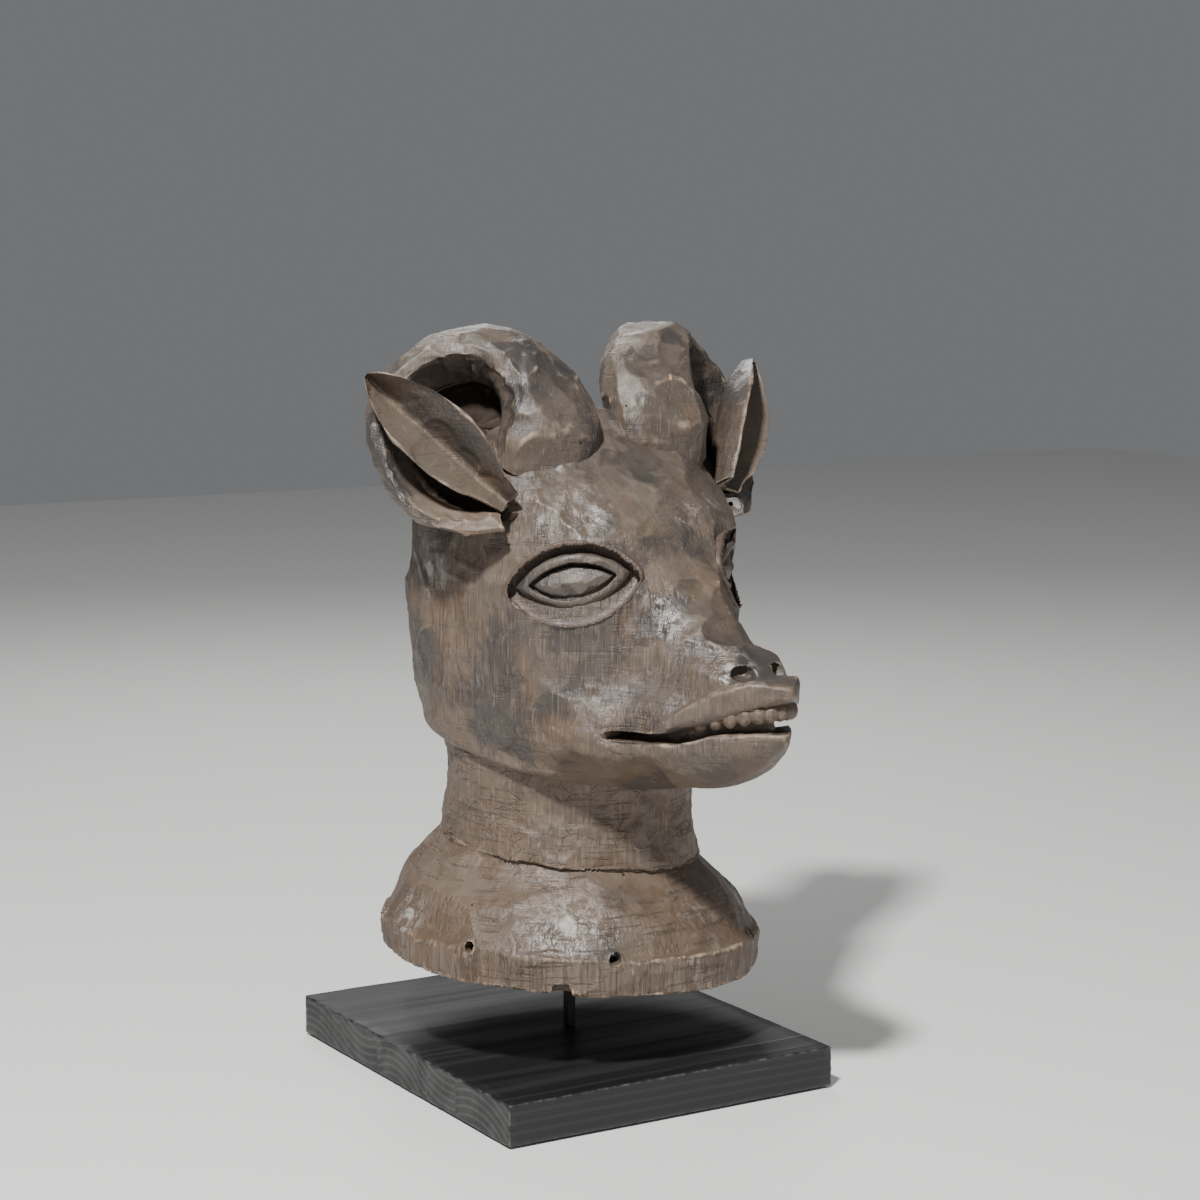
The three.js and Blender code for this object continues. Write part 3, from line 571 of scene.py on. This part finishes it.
for side, name in ((-1, "right"), (1, "left")):
    for label, shape in (("lids", lids_field), ("ball", ball_field)):
        local, quads = hew(shape, (-40, -22, -20), (40, 22, 8), 0.75 * FINE)
        points = placed_eye(rub(local, quads, 2, 0.5), side)
        inward, up, out = eye_axes()
        if side * np.dot(np.cross(inward, up), out) < 0:
            quads = quads[:, ::-1]
        points, tone = adze(points, quads, 60, 0.5, 9, 31 + side, None, 0.12)
        piece = timber(f"eye_{label}_{name}", points, quads, tone)
        piece.data.materials.append(aged_wood(f"eye_wood_{label}_{name}", 0.7, 0.2, 0.2, 0.4, 4 + side))
        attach(piece, "mask")
        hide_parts(f"eye_{name}")

# ---- Teeth ---------------------------------------------------------------------------------------
# Thirteen blunt teeth in one arc under the shelf of the upper lip, rounded one by one from a strip
# of gum and left standing on it.
TOOTH_COUNT, TOOTH_SPREAD = 13, 1.3


def teeth_field(x, y, z):
    total = None
    for n in range(TOOTH_COUNT):
        angle = (n / (TOOTH_COUNT - 1) * 2 - 1) * TOOTH_SPREAD
        back = (1 - math.cos(angle)) * 53
        cx, cy, cz = 32 * math.sin(angle), -(210.5 - back), 275.5 - 0.22 * back
        tooth = np.sqrt(((x - cx) / 0.9) ** 2 + ((y - cy) / 1.0) ** 2 + ((z - cz) / 1.2) ** 2) - 5.2
        gum = np.sqrt((x - cx) ** 2 + ((y - cy - 3) ** 2) + ((z - cz - 4) / 0.9) ** 2) - 5.6
        both = np.minimum(tooth, gum)
        total = both if total is None else np.minimum(total, both)
    return np.maximum(total, z - 284)


points, quads = hew(teeth_field, (-44, -226, 254), (44, -150, 287), 0.9 * FINE)
points = rub(points, quads, 1, 0.5)
points, tone = adze(points, quads, 90, 0.6, 6, 41)
teeth = timber("teeth_row", points, quads, tone)
teeth.data.materials.append(aged_wood("teeth_wood", 0.15, 0.1, 0.3, 0.9, 7))
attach(teeth, "mask")
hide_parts("upper_teeth")

# ---- Horns ---------------------------------------------------------------------------------------
# Each horn is cut from the same log: it rises square from the forehead, curls back and down, then
# out and forward to a blunt tip under the ear. Its outer side is hollowed towards a sunk web.
HORN_LEAN = math.radians(53)
HORN_BACK = np.array([math.sin(HORN_LEAN), math.cos(HORN_LEAN), 0])
HORN_SIDE = np.array([math.cos(HORN_LEAN), -math.sin(HORN_LEAN), 0])
HORN_ROOT = np.array([43.0, -40.0, 0.0])
HORN_CENTRE_BACK, HORN_CENTRE_Z = 52, 445
HORN_LENGTH, HORN_HEIGHT = 144, 136


def horn_middle(back, z, aside):
    return HORN_ROOT + HORN_BACK * back + HORN_SIDE * aside + np.array([0, 0, z])


def lofted(rings):
    """Closed skin over rings of equal count. The ends are drawn in to a point."""
    rings = np.asarray(rings)
    first, last = rings[0].mean(axis=0), rings[-1].mean(axis=0)
    shares = (0.02, 0.2, 0.4, 0.6, 0.8, 0.93)
    start = [first + (rings[0] - first) * k for k in shares]
    end = [last + (rings[-1] - last) * k for k in reversed(shares)]
    rings = np.concatenate([start, rings, end])
    rows, count = rings.shape[:2]
    points = rings.reshape(-1, 3)
    r, i = np.meshgrid(np.arange(rows - 1), np.arange(count), indexing="ij")
    a, b = r * count + i, r * count + (i + 1) % count
    quads = np.stack([a, b, b + count, a + count], axis=-1).reshape(-1, 4)
    p0, p1, p2 = points[quads[:, 0]], points[quads[:, 1]], points[quads[:, 2]]
    if np.einsum("ij,ij->", p0, np.cross(p1, p2)) < 0:
        quads = quads[:, ::-1]
    return points, quads


def curl_size(share):
    return 25 - 16 * share ** 1.3, 38 - 28 * share ** 1.1


def curl_middle(turn, share, thick, aside=0.0):
    aside += 45 * ease(share, 0.35, 1) - 14 * math.sin(math.pi * min(share * 1.6, 1))
    return horn_middle(HORN_CENTRE_BACK + (HORN_LENGTH / 2 - thick) * math.cos(turn),
                       HORN_CENTRE_Z + (HORN_HEIGHT / 2 - thick) * math.sin(turn), aside)


def horn_ring(share, around):
    turn, share = math.radians(182 - 290 * share), max(share, 0)
    thick, across = curl_size(share)
    middle = curl_middle(turn, share, thick)
    level = np.array([1.0, 0, 0]) * (1 - min(share * 2.5, 1)) + HORN_SIDE * min(share * 2.5, 1)
    level /= np.linalg.norm(level)
    out = HORN_BACK * math.cos(turn) + np.array([0, 0, math.sin(turn)])
    out -= level * np.dot(out, level)
    out /= np.linalg.norm(out)
    angle = np.linspace(0, 2 * math.pi, around, endpoint=False)
    c = np.sign(np.cos(angle)) * np.abs(np.cos(angle)) ** (2 / 2.5)
    s = np.sign(np.sin(angle)) * np.abs(np.sin(angle)) ** (2 / 2.5)
    hollow = ease(share, 0.08, 0.42) * (1 - ease(share, 0.85, 1.0) * 0.6)
    s = np.where(s > 0, s + hollow * (np.minimum(s, 0.98 + 0.85 * c) - s), s)
    return middle + np.outer(c * thick, out) + np.outer(s * across, level)


def web_rings(around):
    """A sunk web that meets the inner side of the curl all the way round."""
    rim = []
    for turn in np.linspace(0, 360, around, endpoint=False):
        along = (182 - turn) % 360 / 290
        share = min(along, 1) * (1 - ease(along, 1, 360 / 290))
        thick, across = curl_size(share)
        rim.append(curl_middle(math.radians(turn), share, thick, -0.55 * across))
    rim = np.array(rim)
    front = horn_middle(HORN_CENTRE_BACK, HORN_CENTRE_Z, -19)
    back = horn_middle(HORN_CENTRE_BACK, HORN_CENTRE_Z, -31)
    inward = (0.05, 0.3, 0.55, 0.8, 1.0)
    rings = [front + (rim - front) * k for k in inward]
    return rings + [back + (rim - 8 * HORN_SIDE - back) * k for k in reversed(inward)]


for side, name in ((-1, "right"), (1, "left")):
    points, quads = lofted([horn_ring(t, 150) for t in np.linspace(-0.09, 1, 190)])
    points = rub(points, quads, 5)
    points += outward(points, quads) * (sway(points, 60, 6 + side) * 0.8)[:, None]
    points, tone = adze(points, quads, 150, 2.4, 30, 51 + side, None, 0.09)
    points, tone_small = adze(points, quads, 420, 1.0, 14, 53 + side, None, 0.14)
    web, web_quads = lofted(web_rings(90))
    web, web_tone = adze(web, web_quads, 60, 1.5, 18, 55 + side)
    quads = np.concatenate([quads, web_quads + len(points)])
    points = np.concatenate([points, web]) * np.array([side, 1, 1])
    if side < 0:
        quads = quads[:, ::-1]
    tone = np.concatenate([0.5 * tone + 0.5 * tone_small, web_tone])
    # The sunk web is given nine millimetres of extra depth, so that it is painted near black as shade.
    dust_and_painted_shade = np.where(np.arange(len(points)) >= len(points) - len(web), 9.0, 0.0)
    # Pale worn spots on the horn tops, partly painted highlights.
    spots = [(side * 52, -72, 500, 26), (side * 60, -50, 513, 14), (side * 100, 62, 470, 24)]
    horn = timber(f"horn_{name}_carved", points, quads, tone, dust_and_painted_shade, spots)
    horn.data.materials.append(aged_wood(f"horn_wood_{name}", 1.0, 0.15, 0.75, 0.15, 14.5 + side))
    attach(horn, "mask")
    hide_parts(f"horn_{name}")

# ---- Ears ----------------------------------------------------------------------------------------
# A pointed leaf of wood with a deep trough cut down its front, from the temple back to a tip that
# rests on the curl of the horn.
EAR_ROOT, EAR_TIP = np.array([101.0, -50.0, 409.0]), np.array([164.0, 1.0, 481.5])
EAR_WIDTH, EAR_THICKNESS = 46.0, 24.0
EAR_SHARES = [-0.12, 0.0, 0.1, 0.3, 0.5, 0.7, 0.86, 0.95, 1.0]
EAR_SWELL = [0.36, 0.50, 0.70, 0.96, 1.0, 0.86, 0.56, 0.30, 0.08]
EAR_SECTION = [ # across, forward
    (-1, 0.46), (-0.96, 0.58), (-0.88, 0.55), (-0.5, 0.10), (-0.06, -0.50), (0, -0.55), (0.06, -0.50),
    (0.5, 0.06), (0.88, 0.52), (0.96, 0.55), (1, 0.44), (0.88, 0.02), (0.5, -0.52), (0, -0.82),
    (-0.5, -0.52), (-0.88, 0.02),
]
EAR_AROUND = 130


def ear_rings(rows, around):
    along = EAR_TIP - EAR_ROOT
    front = np.array([0.36, -0.93, 0.0])
    front -= along * np.dot(front, along) / np.dot(along, along)
    front /= np.linalg.norm(front)
    across = np.cross(along, front)
    across /= np.linalg.norm(across)
    section = np.array(EAR_SECTION + EAR_SECTION[:1])
    run = np.concatenate([[0], np.cumsum(np.linalg.norm(np.diff(section, axis=0) * [1, 0.6], axis=1))])
    at = np.linspace(0, run[-1], around, endpoint=False)
    u, v = np.interp(at, run, section[:, 0]), np.interp(at, run, section[:, 1])
    rings = []
    for share in np.linspace(-0.12, 1.0, rows):
        swell = float(fair(np.array([share]), EAR_SHARES, EAR_SWELL)[0])
        middle = EAR_ROOT + along * share + front * 2.0 * math.sin(math.pi * max(share, 0))
        deep = EAR_THICKNESS * (0.25 + 0.75 * swell)
        rings.append(middle + np.outer(u * EAR_WIDTH / 2 * swell, across) + np.outer(v * deep, front))
    return rings


for side, name in ((-1, "right"), (1, "left")):
    points, quads = lofted(ear_rings(110, EAR_AROUND))
    points = rub(points, quads, 2, 0.5)
    points += outward(points, quads) * (sway(points, 40, 16 + side) * 0.5)[:, None]
    points, tone = adze(points, quads, 90, 0.8, 14, 61 + side)
    points *= np.array([side, 1, 1])
    if side < 0:
        quads = quads[:, ::-1]
    # Painted light: the lower blade of the trough gets a high tone, so it shows lighter as if lit from above.
    around = np.arange(len(points)) % EAR_AROUND / EAR_AROUND
    lit_lower_blade = (around > 0.22) & (around < 0.5)
    tone = 0.3 * tone + 0.7 * lit_lower_blade
    ear = timber(f"ear_{name}_carved", points, quads, tone)
    ear.data.materials.append(aged_wood(f"ear_wood_{name}", 0.6, 0.3, 0.3, 0.6, 16 + side))
    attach(ear, "mask")
    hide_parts(f"ear_{name}")

# ---- Neck ----------------------------------------------------------------------------------------
# A thick drum of wood between the head and the collar, left with the short square bites of the
# blade, each a little hollow of its own.
NECK = [(100, 96, 98, 96), (161, 90, 91, 90), (195, 86.5, 87.5, 86.5), (226, 87.5, 93, 87), (262, 90, 98, 89)]


def neck_field(x, y, z):
    body = level_field(x, y, z, NECK, 2)
    body = np.maximum(body, z - (234.5 + 0.19 * y))
    body = np.maximum(body, (157 - 0.075 * x + 0.0676 * y) - z)
    return np.maximum(body, -hollow_field(x, y, z))


points, quads = hew(neck_field, (-100, -108, 140), (100, 104, 262), 1.5 * FINE)
plain = hollow_field(*points.T) > 4
points = rub(points, quads, 2)
points += outward(points, quads) * (sway(points, 60, 24) * 0.8 * plain)[:, None]
points, tone = adze(points, quads, 300, 1.8, 24, 71, plain, 0.08)
points, tone_small = adze(points, quads, 1100, 1.0, 12, 72, plain, 0.15)
neck = timber("carved_neck", points, quads, 0.4 * tone + 0.6 * tone_small)
neck.data.materials.append(aged_wood("neck_wood", 0.25, 0.35, 0.25, 0.95, 20, 0.7, 0.35))
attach(neck, "mask")
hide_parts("neck")

# ---- Collar --------------------------------------------------------------------------------------
# The foot of the log, flared to rest on the wearer's shoulders: a sloping top over an upright rim of
# split end wood, with eight holes for the lashings of a costume.
HOLE_ANGLES = (25, 69, 118, 160, -160, -118, -76, -35)


def collar_outer(x, y, z, inset=0.0):
    bottom = 84.5 - 0.051 * x + 0.052 * y
    rim = 106.5 - 0.049 * x + 0.0187 * y
    top = 161 - 0.075 * x + 0.0676 * y
    share = (z - rim) / (top - rim)
    radius = np.where(share < 0, 130 + np.clip((z - bottom) / (rim - bottom), -1, 1),
                      fair(np.clip(share, 0, 1), [0, 0.12, 0.5, 0.85, 1], [131, 127, 116.5, 97, 89.5]))
    return (np.sqrt(x ** 2 + y ** 2) - radius + inset) * 0.85, bottom, top


def collar_field(x, y, z):
    body, bottom, top = collar_outer(x, y, z)
    under = collar_outer(x, y, z, 24)[0]
    body = np.maximum(np.maximum(body, bottom - z), z - (top + 0.5))
    body = np.maximum(np.maximum(body, -under), -hollow_field(x, y, z))
    for angle in HOLE_ANGLES:
        ax, ay = -math.sin(math.radians(angle)), -math.cos(math.radians(angle))
        level = 106.5 - 0.049 * ax * 131 + 0.0187 * ay * 131
        along = x * ax + y * ay
        bore = np.sqrt((x * ay - y * ax) ** 2 + (z - level) ** 2) - 4
        body = np.maximum(body, -np.maximum(bore, 60 - along))
    notch = np.sqrt((x + 82) ** 2 + (y + 95) ** 2 + ((z - 84) * 1.2) ** 2) - 8
    return np.maximum(body, -notch)


points, quads = hew(collar_field, (-136, -136, 68), (136, 136, 182), 1.5 * FINE)
skin, bottom, top = collar_outer(*points.T)
rim_height = 106.5 - 0.049 * points[:, 0] + 0.0187 * points[:, 1]
outside = rub((skin > -2.5).astype(float), quads, 2)
upper = outside * ease(points[:, 2] - rim_height, -3, 3)
rim = outside - upper
points = rub(points, quads, 1)
points += outward(points, quads) * (sway(points, 70, 34) * outside)[:, None]
points, tone = adze(points, quads, 170, 2.6, 44, 81, upper, 0.06)
points, tone_small = adze(points, quads, 600, 0.8, 16, 82, upper, 0.08)
points, tone_rim = adze(points, quads, 260, 1.4, 15, 83, rim)
turn = np.arctan2(points[:, 1], points[:, 0])
split = np.sin(turn * 190 + 3 * np.sin(turn * 23)) * np.sin(turn * 71 + points[:, 2] * 0.03)
points += outward(points, quads) * (0.4 * split * rim)[:, None]
tone = np.where(rim > 0.5, tone_rim, 0.5 * tone + 0.5 * tone_small)
# Pale worn spots on the collar, partly painted highlights.
COLLAR_WORN_AND_HIGHLIGHT_SPOTS = [
    (-70, -88, 125, 30), (-50, -100, 122, 16), (-120, 20, 122, 22), (92, -70, 124, 20), (20, 112, 122, 26),
]
collar = timber("carved_collar", points, quads, tone, 0, COLLAR_WORN_AND_HIGHLIGHT_SPOTS)
collar.data.materials.append(aged_wood("collar_wood", 0.25, 0.8, 0.8, 0.8, 25, 0.8, 0.12))
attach(collar, "mask")
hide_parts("collar")

# ---- Plinth --------------------------------------------------------------------------------------
# Five boards glued edge to edge, planed, eased along their edges and stained black. Long grain shows
# along them and the year rings on their ends.


def black_board(name, shift, ring_y, ring_z):
    p = Paint(name)
    worn = p.carried("edge")
    long_grain = p.noise(260, 4, p.stretched(0.035, 1, 1, shift), 0.65)
    broad = p.noise(60, 3, p.stretched(0.06, 1, 1, shift), 0.5, 0.4)
    figure = p.noise(9, 2, p.stretched(0.2, 1, 1, shift))
    apart = p.tree.nodes.new("ShaderNodeVectorMath")
    apart.operation = "DISTANCE"
    moved = p.stretched(0.0, 1, 1)
    p.feed(apart.inputs[0], moved)
    apart.inputs[1].default_value = (0, ring_y, ring_z)
    rings = p.sum("SINE", p.sum("ADD", p.sum("MULTIPLY", apart.outputs["Value"], 1150.0),
                                p.sum("MULTIPLY", figure, 9.0)), 0.0)
    colour = p.mix(p.ramp(broad, 0.35, 0.7), (0.0046, 0.0048, 0.0052), (0.0068, 0.0070, 0.0074))
    colour = p.mix(p.ramp(long_grain, 0.58, 0.74, 0, 0.3), colour, (0.026, 0.026, 0.027))
    on_end = p.ramp(p.sum("ABSOLUTE", p.axis("X"), 0.0), 0.1234, 0.1246, 0.25, 0.9)
    colour = p.mix(p.sum("MULTIPLY", p.ramp(rings, 0.1, 0.9), on_end), colour, (0.036, 0.035, 0.034))
    scratch = p.ramp(p.noise(420, 2, p.stretched(0.012, 1, 1, shift + 4)), 0.66, 0.72)
    colour = p.mix(p.sum("MULTIPLY", scratch, p.ramp(figure, 0.45, 0.6, 0, 0.7)), colour, (0.16, 0.16, 0.16))
    colour = p.mix(p.sum("MULTIPLY", worn, p.ramp(p.noise(140, 4), 0.42, 0.62)), colour, (0.115, 0.108, 0.10))
    rough = p.ramp(broad, 0.3, 0.7, 0.42, 0.60)
    relief = p.sum("ADD", p.sum("MULTIPLY", long_grain, 0.8), p.sum("MULTIPLY", rings, 0.12))
    return p.finish(colour, rough, relief, 0.0003, 0.5)


def in_plane(edge, glued):
    """Whether an edge lies in one of the glued sides."""
    return any(abs(edge.verts[0].co.y - y) + abs(edge.verts[1].co.y - y) < 2e-6 for y in glued)


def eased_block(name, low, high, ease_by, cuts, wave, seed, glued):
    """A board with rounded edges, except along a glued side, and faces that are not quite true."""
    form = bmesh.new()
    bmesh.ops.create_cube(form, size=1)
    for v in form.verts:
        v.co = [(low[i] + high[i]) / 2 + v.co[i] * (high[i] - low[i]) for i in range(3)]
    free = [e for e in form.edges if not in_plane(e, glued)]
    bmesh.ops.bevel(form, geom=free, offset=ease_by, segments=3, affect="EDGES", profile=0.5)
    long_edges = [e for e in form.edges if e.calc_length() > 0.3 * (high[1] - low[1])]
    bmesh.ops.subdivide_edges(form, edges=long_edges, cuts=cuts, use_grid_fill=True)
    for e in form.edges:
        e.smooth = not in_plane(e, glued)
    mesh = bpy.data.meshes.new(name)
    form.to_mesh(mesh)
    form.free()
    co = np.zeros(len(mesh.vertices) * 3, np.float32)
    mesh.vertices.foreach_get("co", co)
    co = co.reshape(-1, 3).astype(float)
    room = np.minimum(co - low, high - co)
    for y in glued:
        room[:, 1] = np.where(np.abs(co[:, 1] - y) < 0.6 * (high[1] - low[1]) / 2, 1.0, room[:, 1])
    inset = np.sort(room, axis=1)
    worn = np.clip(1 - inset[:, 1] / (1.1 * ease_by), 0, 1)
    centre = (np.array(low) + high) / 2
    inward = np.sign(centre - co) * (room < 1.2 * ease_by)
    co += inward * (wave * (0.5 + 0.5 * sway(co * 1000, 45, seed)))[:, None]
    co += inward * (worn * wave * 1.5 * (0.5 + 0.5 * sway(co * 1000, 9, seed + 1)))[:, None]
    mesh.vertices.foreach_set("co", co.astype(np.float32).ravel())
    layer = mesh.attributes.new("edge", "FLOAT", "POINT")
    layer.data.foreach_set("value", worn.astype(np.float32))
    mesh.polygons.foreach_set("use_smooth", np.ones(len(mesh.polygons), bool))
    mesh.update()
    piece = bpy.data.objects.new(name, mesh)
    bpy.context.scene.collection.objects.link(piece)
    return piece


HALF_GLUE_LINE = 0.00015
HEARTS = ((0.011, -0.055), (-0.014, 0.085), (0.006, -0.04), (-0.009, 0.075), (0.013, -0.06))
for n in range(5):
    low, high = (np.array(c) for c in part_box(f"plinth_board_{n + 1}"))
    glued = []
    if n > 0:
        low[1] -= HALF_GLUE_LINE
        glued.append(low[1])
    if n < 4:
        high[1] += HALF_GLUE_LINE
        glued.append(high[1])
    board = eased_block(f"board_{n + 1}", low, high, 0.0011, 26, 0.00022, 90, glued)
    heart_y, heart_z = HEARTS[n]
    heart_y += (low[1] + high[1]) / 2
    board.data.materials.append(black_board(f"board_stain_{n + 1}", 3.1 * n, heart_y, heart_z))
    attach(board, "stand")
    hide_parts(f"plinth_board_{n + 1}")

# ---- Felt ----------------------------------------------------------------------------------------
# Black wool felt: one sheet glued under the plinth, a pad on the armature's crown and one on each of
# its four arms, so that the iron never touches the wood.


def felt_finish(name):
    p = Paint(name)
    fluff = p.noise(900, 5, rough=0.7)
    clump = p.noise(120, 3)
    colour = p.mix(p.ramp(fluff, 0.35, 0.7), (0.014, 0.014, 0.015), (0.045, 0.045, 0.047))
    colour = p.mix(p.ramp(clump, 0.5, 0.7, 0, 0.4), colour, (0.06, 0.059, 0.058))
    p.feed(p.shader.inputs["Sheen Weight"], 0.35)
    return p.finish(colour, p.ramp(clump, 0.3, 0.7, 0.88, 0.98), fluff, 0.0004, 0.8)


felt = felt_finish("black_felt")


def felt_pad(name, rings, body, node):
    points, quads = lofted(rings)
    mesh = bpy.data.meshes.new(name)
    points = points + outward(points, quads) * (sway(points * 1000, 7, 99) * 0.00012)[:, None]
    mesh.from_pydata(points.tolist(), [], quads.tolist())
    mesh.polygons.foreach_set("use_smooth", np.ones(len(mesh.polygons), bool))
    pad = bpy.data.objects.new(name, mesh)
    bpy.context.scene.collection.objects.link(pad)
    mesh.materials.append(felt)
    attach(pad, body)
    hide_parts(node)
    return pad


def rounded_outline(half_x, half_y, corner, count=96):
    angle = np.linspace(0, 2 * math.pi, count, endpoint=False)
    c, s = np.cos(angle), np.sin(angle)
    power = 2 * max(half_x, half_y) / corner if corner < min(half_x, half_y) else 2
    power = min(power, 30)
    c, s = (np.sign(k) * np.abs(k) ** (2 / power) for k in (c, s))
    return np.stack([c * half_x, s * half_y], 1)


def pad_rings(low, high, corner, round_by):
    middle, half = (low + high) / 2, (high - low) / 2
    rings = []
    for t in np.linspace(-1, 1, 9):
        pull = round_by * (1 - math.sqrt(max(1 - abs(t) ** 3, 0)))
        flat = rounded_outline(half[0] - pull, half[1] - pull, corner)
        rings.append(np.column_stack([flat + middle[:2], np.full(len(flat), middle[2] + t * half[2])]))
    return rings


low, high = (np.array(c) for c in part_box("base_felt"))
felt_pad("felt_under_plinth", pad_rings(low, high, 0.012, 0.0006), "stand", "base_felt")
low, high = (np.array(c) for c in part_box("crown_pad"))
felt_pad("felt_on_crown", pad_rings(low, high, 1, 0.0015), "armature", "crown_pad")
for n in range(4):
    low, high = (np.array(c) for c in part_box(f"spider_pad_{n + 1}"))
    middle = (low + high) / 2
    way = middle[:2] - POST_AXIS
    way /= np.linalg.norm(way)
    side_way = np.array([-way[1], way[0]])
    rings = []
    for t in np.linspace(-1, 1, 9):
        pull = 0.0012 * (1 - math.sqrt(max(1 - abs(t) ** 3, 0)))
        flat = rounded_outline(0.008 - pull, 0.008 - pull, 0.003)
        spot = middle[:2] + way * t * 0.0024
        rings.append(np.column_stack([spot + np.outer(flat[:, 0], side_way), middle[2] + flat[:, 1]]))
    felt_pad(f"felt_on_arm_{n + 1}", rings, "armature", f"spider_pad_{n + 1}")

# ---- Post and armature ---------------------------------------------------------------------------
# Square bar, tube, crown disc, hub with four arms, nut, washer and screw, all mild steel that was
# welded where it had to be and painted satin black.


def painted_steel(name):
    p = Paint(name)
    cloud = p.noise(60, 4)
    grit = p.noise(700, 3, rough=0.6)
    colour = p.mix(p.ramp(cloud, 0.4, 0.65), (0.010, 0.010, 0.011), (0.020, 0.020, 0.021))
    colour = p.mix(p.ramp(grit, 0.68, 0.74, 0, 0.6), colour, (0.085, 0.078, 0.072))
    p.feed(p.shader.inputs["Metallic"], 0.25)
    return p.finish(colour, p.ramp(cloud, 0.3, 0.7, 0.38, 0.56), grit, 0.00015, 0.5)


steel = painted_steel("black_paint_on_steel")
for label in ("post", "post_washer", "post_nut", "armature_tube", "crown_disc", "neck_spider", "set_screw"):
    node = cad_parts[label]
    for holder in node.material_slots:
        holder.link = "OBJECT"
        holder.material = steel

# ---- Stage ---------------------------------------------------------------------------------------
# A pale floor under a pale even sky, one key light high on the left that throws the jaw's shadow on
# the collar, and two weak broad lights from the right and from behind.
floor_mesh = bpy.data.meshes.new("studio_floor")
floor_mesh.from_pydata([(-4, -4, 0), (4, -4, 0), (4, 4, 0), (-4, 4, 0)], [], [(0, 1, 2, 3)])
floor = bpy.data.objects.new("studio_floor", floor_mesh)
bpy.context.scene.collection.objects.link(floor)
paper = bpy.data.materials.new("studio_paper")
paper.use_nodes = True
paper.node_tree.nodes["Principled BSDF"].inputs["Base Color"].default_value = (0.72, 0.71, 0.69, 1)
paper.node_tree.nodes["Principled BSDF"].inputs["Roughness"].default_value = 0.9
floor_mesh.materials.append(paper)

world = bpy.data.worlds.new("studio")
world.use_nodes = True
world.node_tree.nodes["Background"].inputs["Color"].default_value = (0.8, 0.82, 0.85, 1)
world.node_tree.nodes["Background"].inputs["Strength"].default_value = 0.21
bpy.context.scene.world = world
LIGHTS = (
    ("key_light", (-1.22, -1.12, 2.1), 0.2, 122),
    ("fill_light", (1.3, -1.9, 0.7), 1.2, 7),
    ("back_light", (0.6, 1.5, 1.5), 0.8, 14),
)
for label, place, size, watts in LIGHTS:
    light_data = bpy.data.lights.new(label, "AREA")
    light_data.size = size
    light_data.energy = watts
    light = bpy.data.objects.new(label, light_data)
    light.location = place
    light.rotation_euler = (Vector((0, 0, 0.3)) - light.location).to_track_quat("-Z", "Y").to_euler()
    bpy.context.scene.collection.objects.link(light)
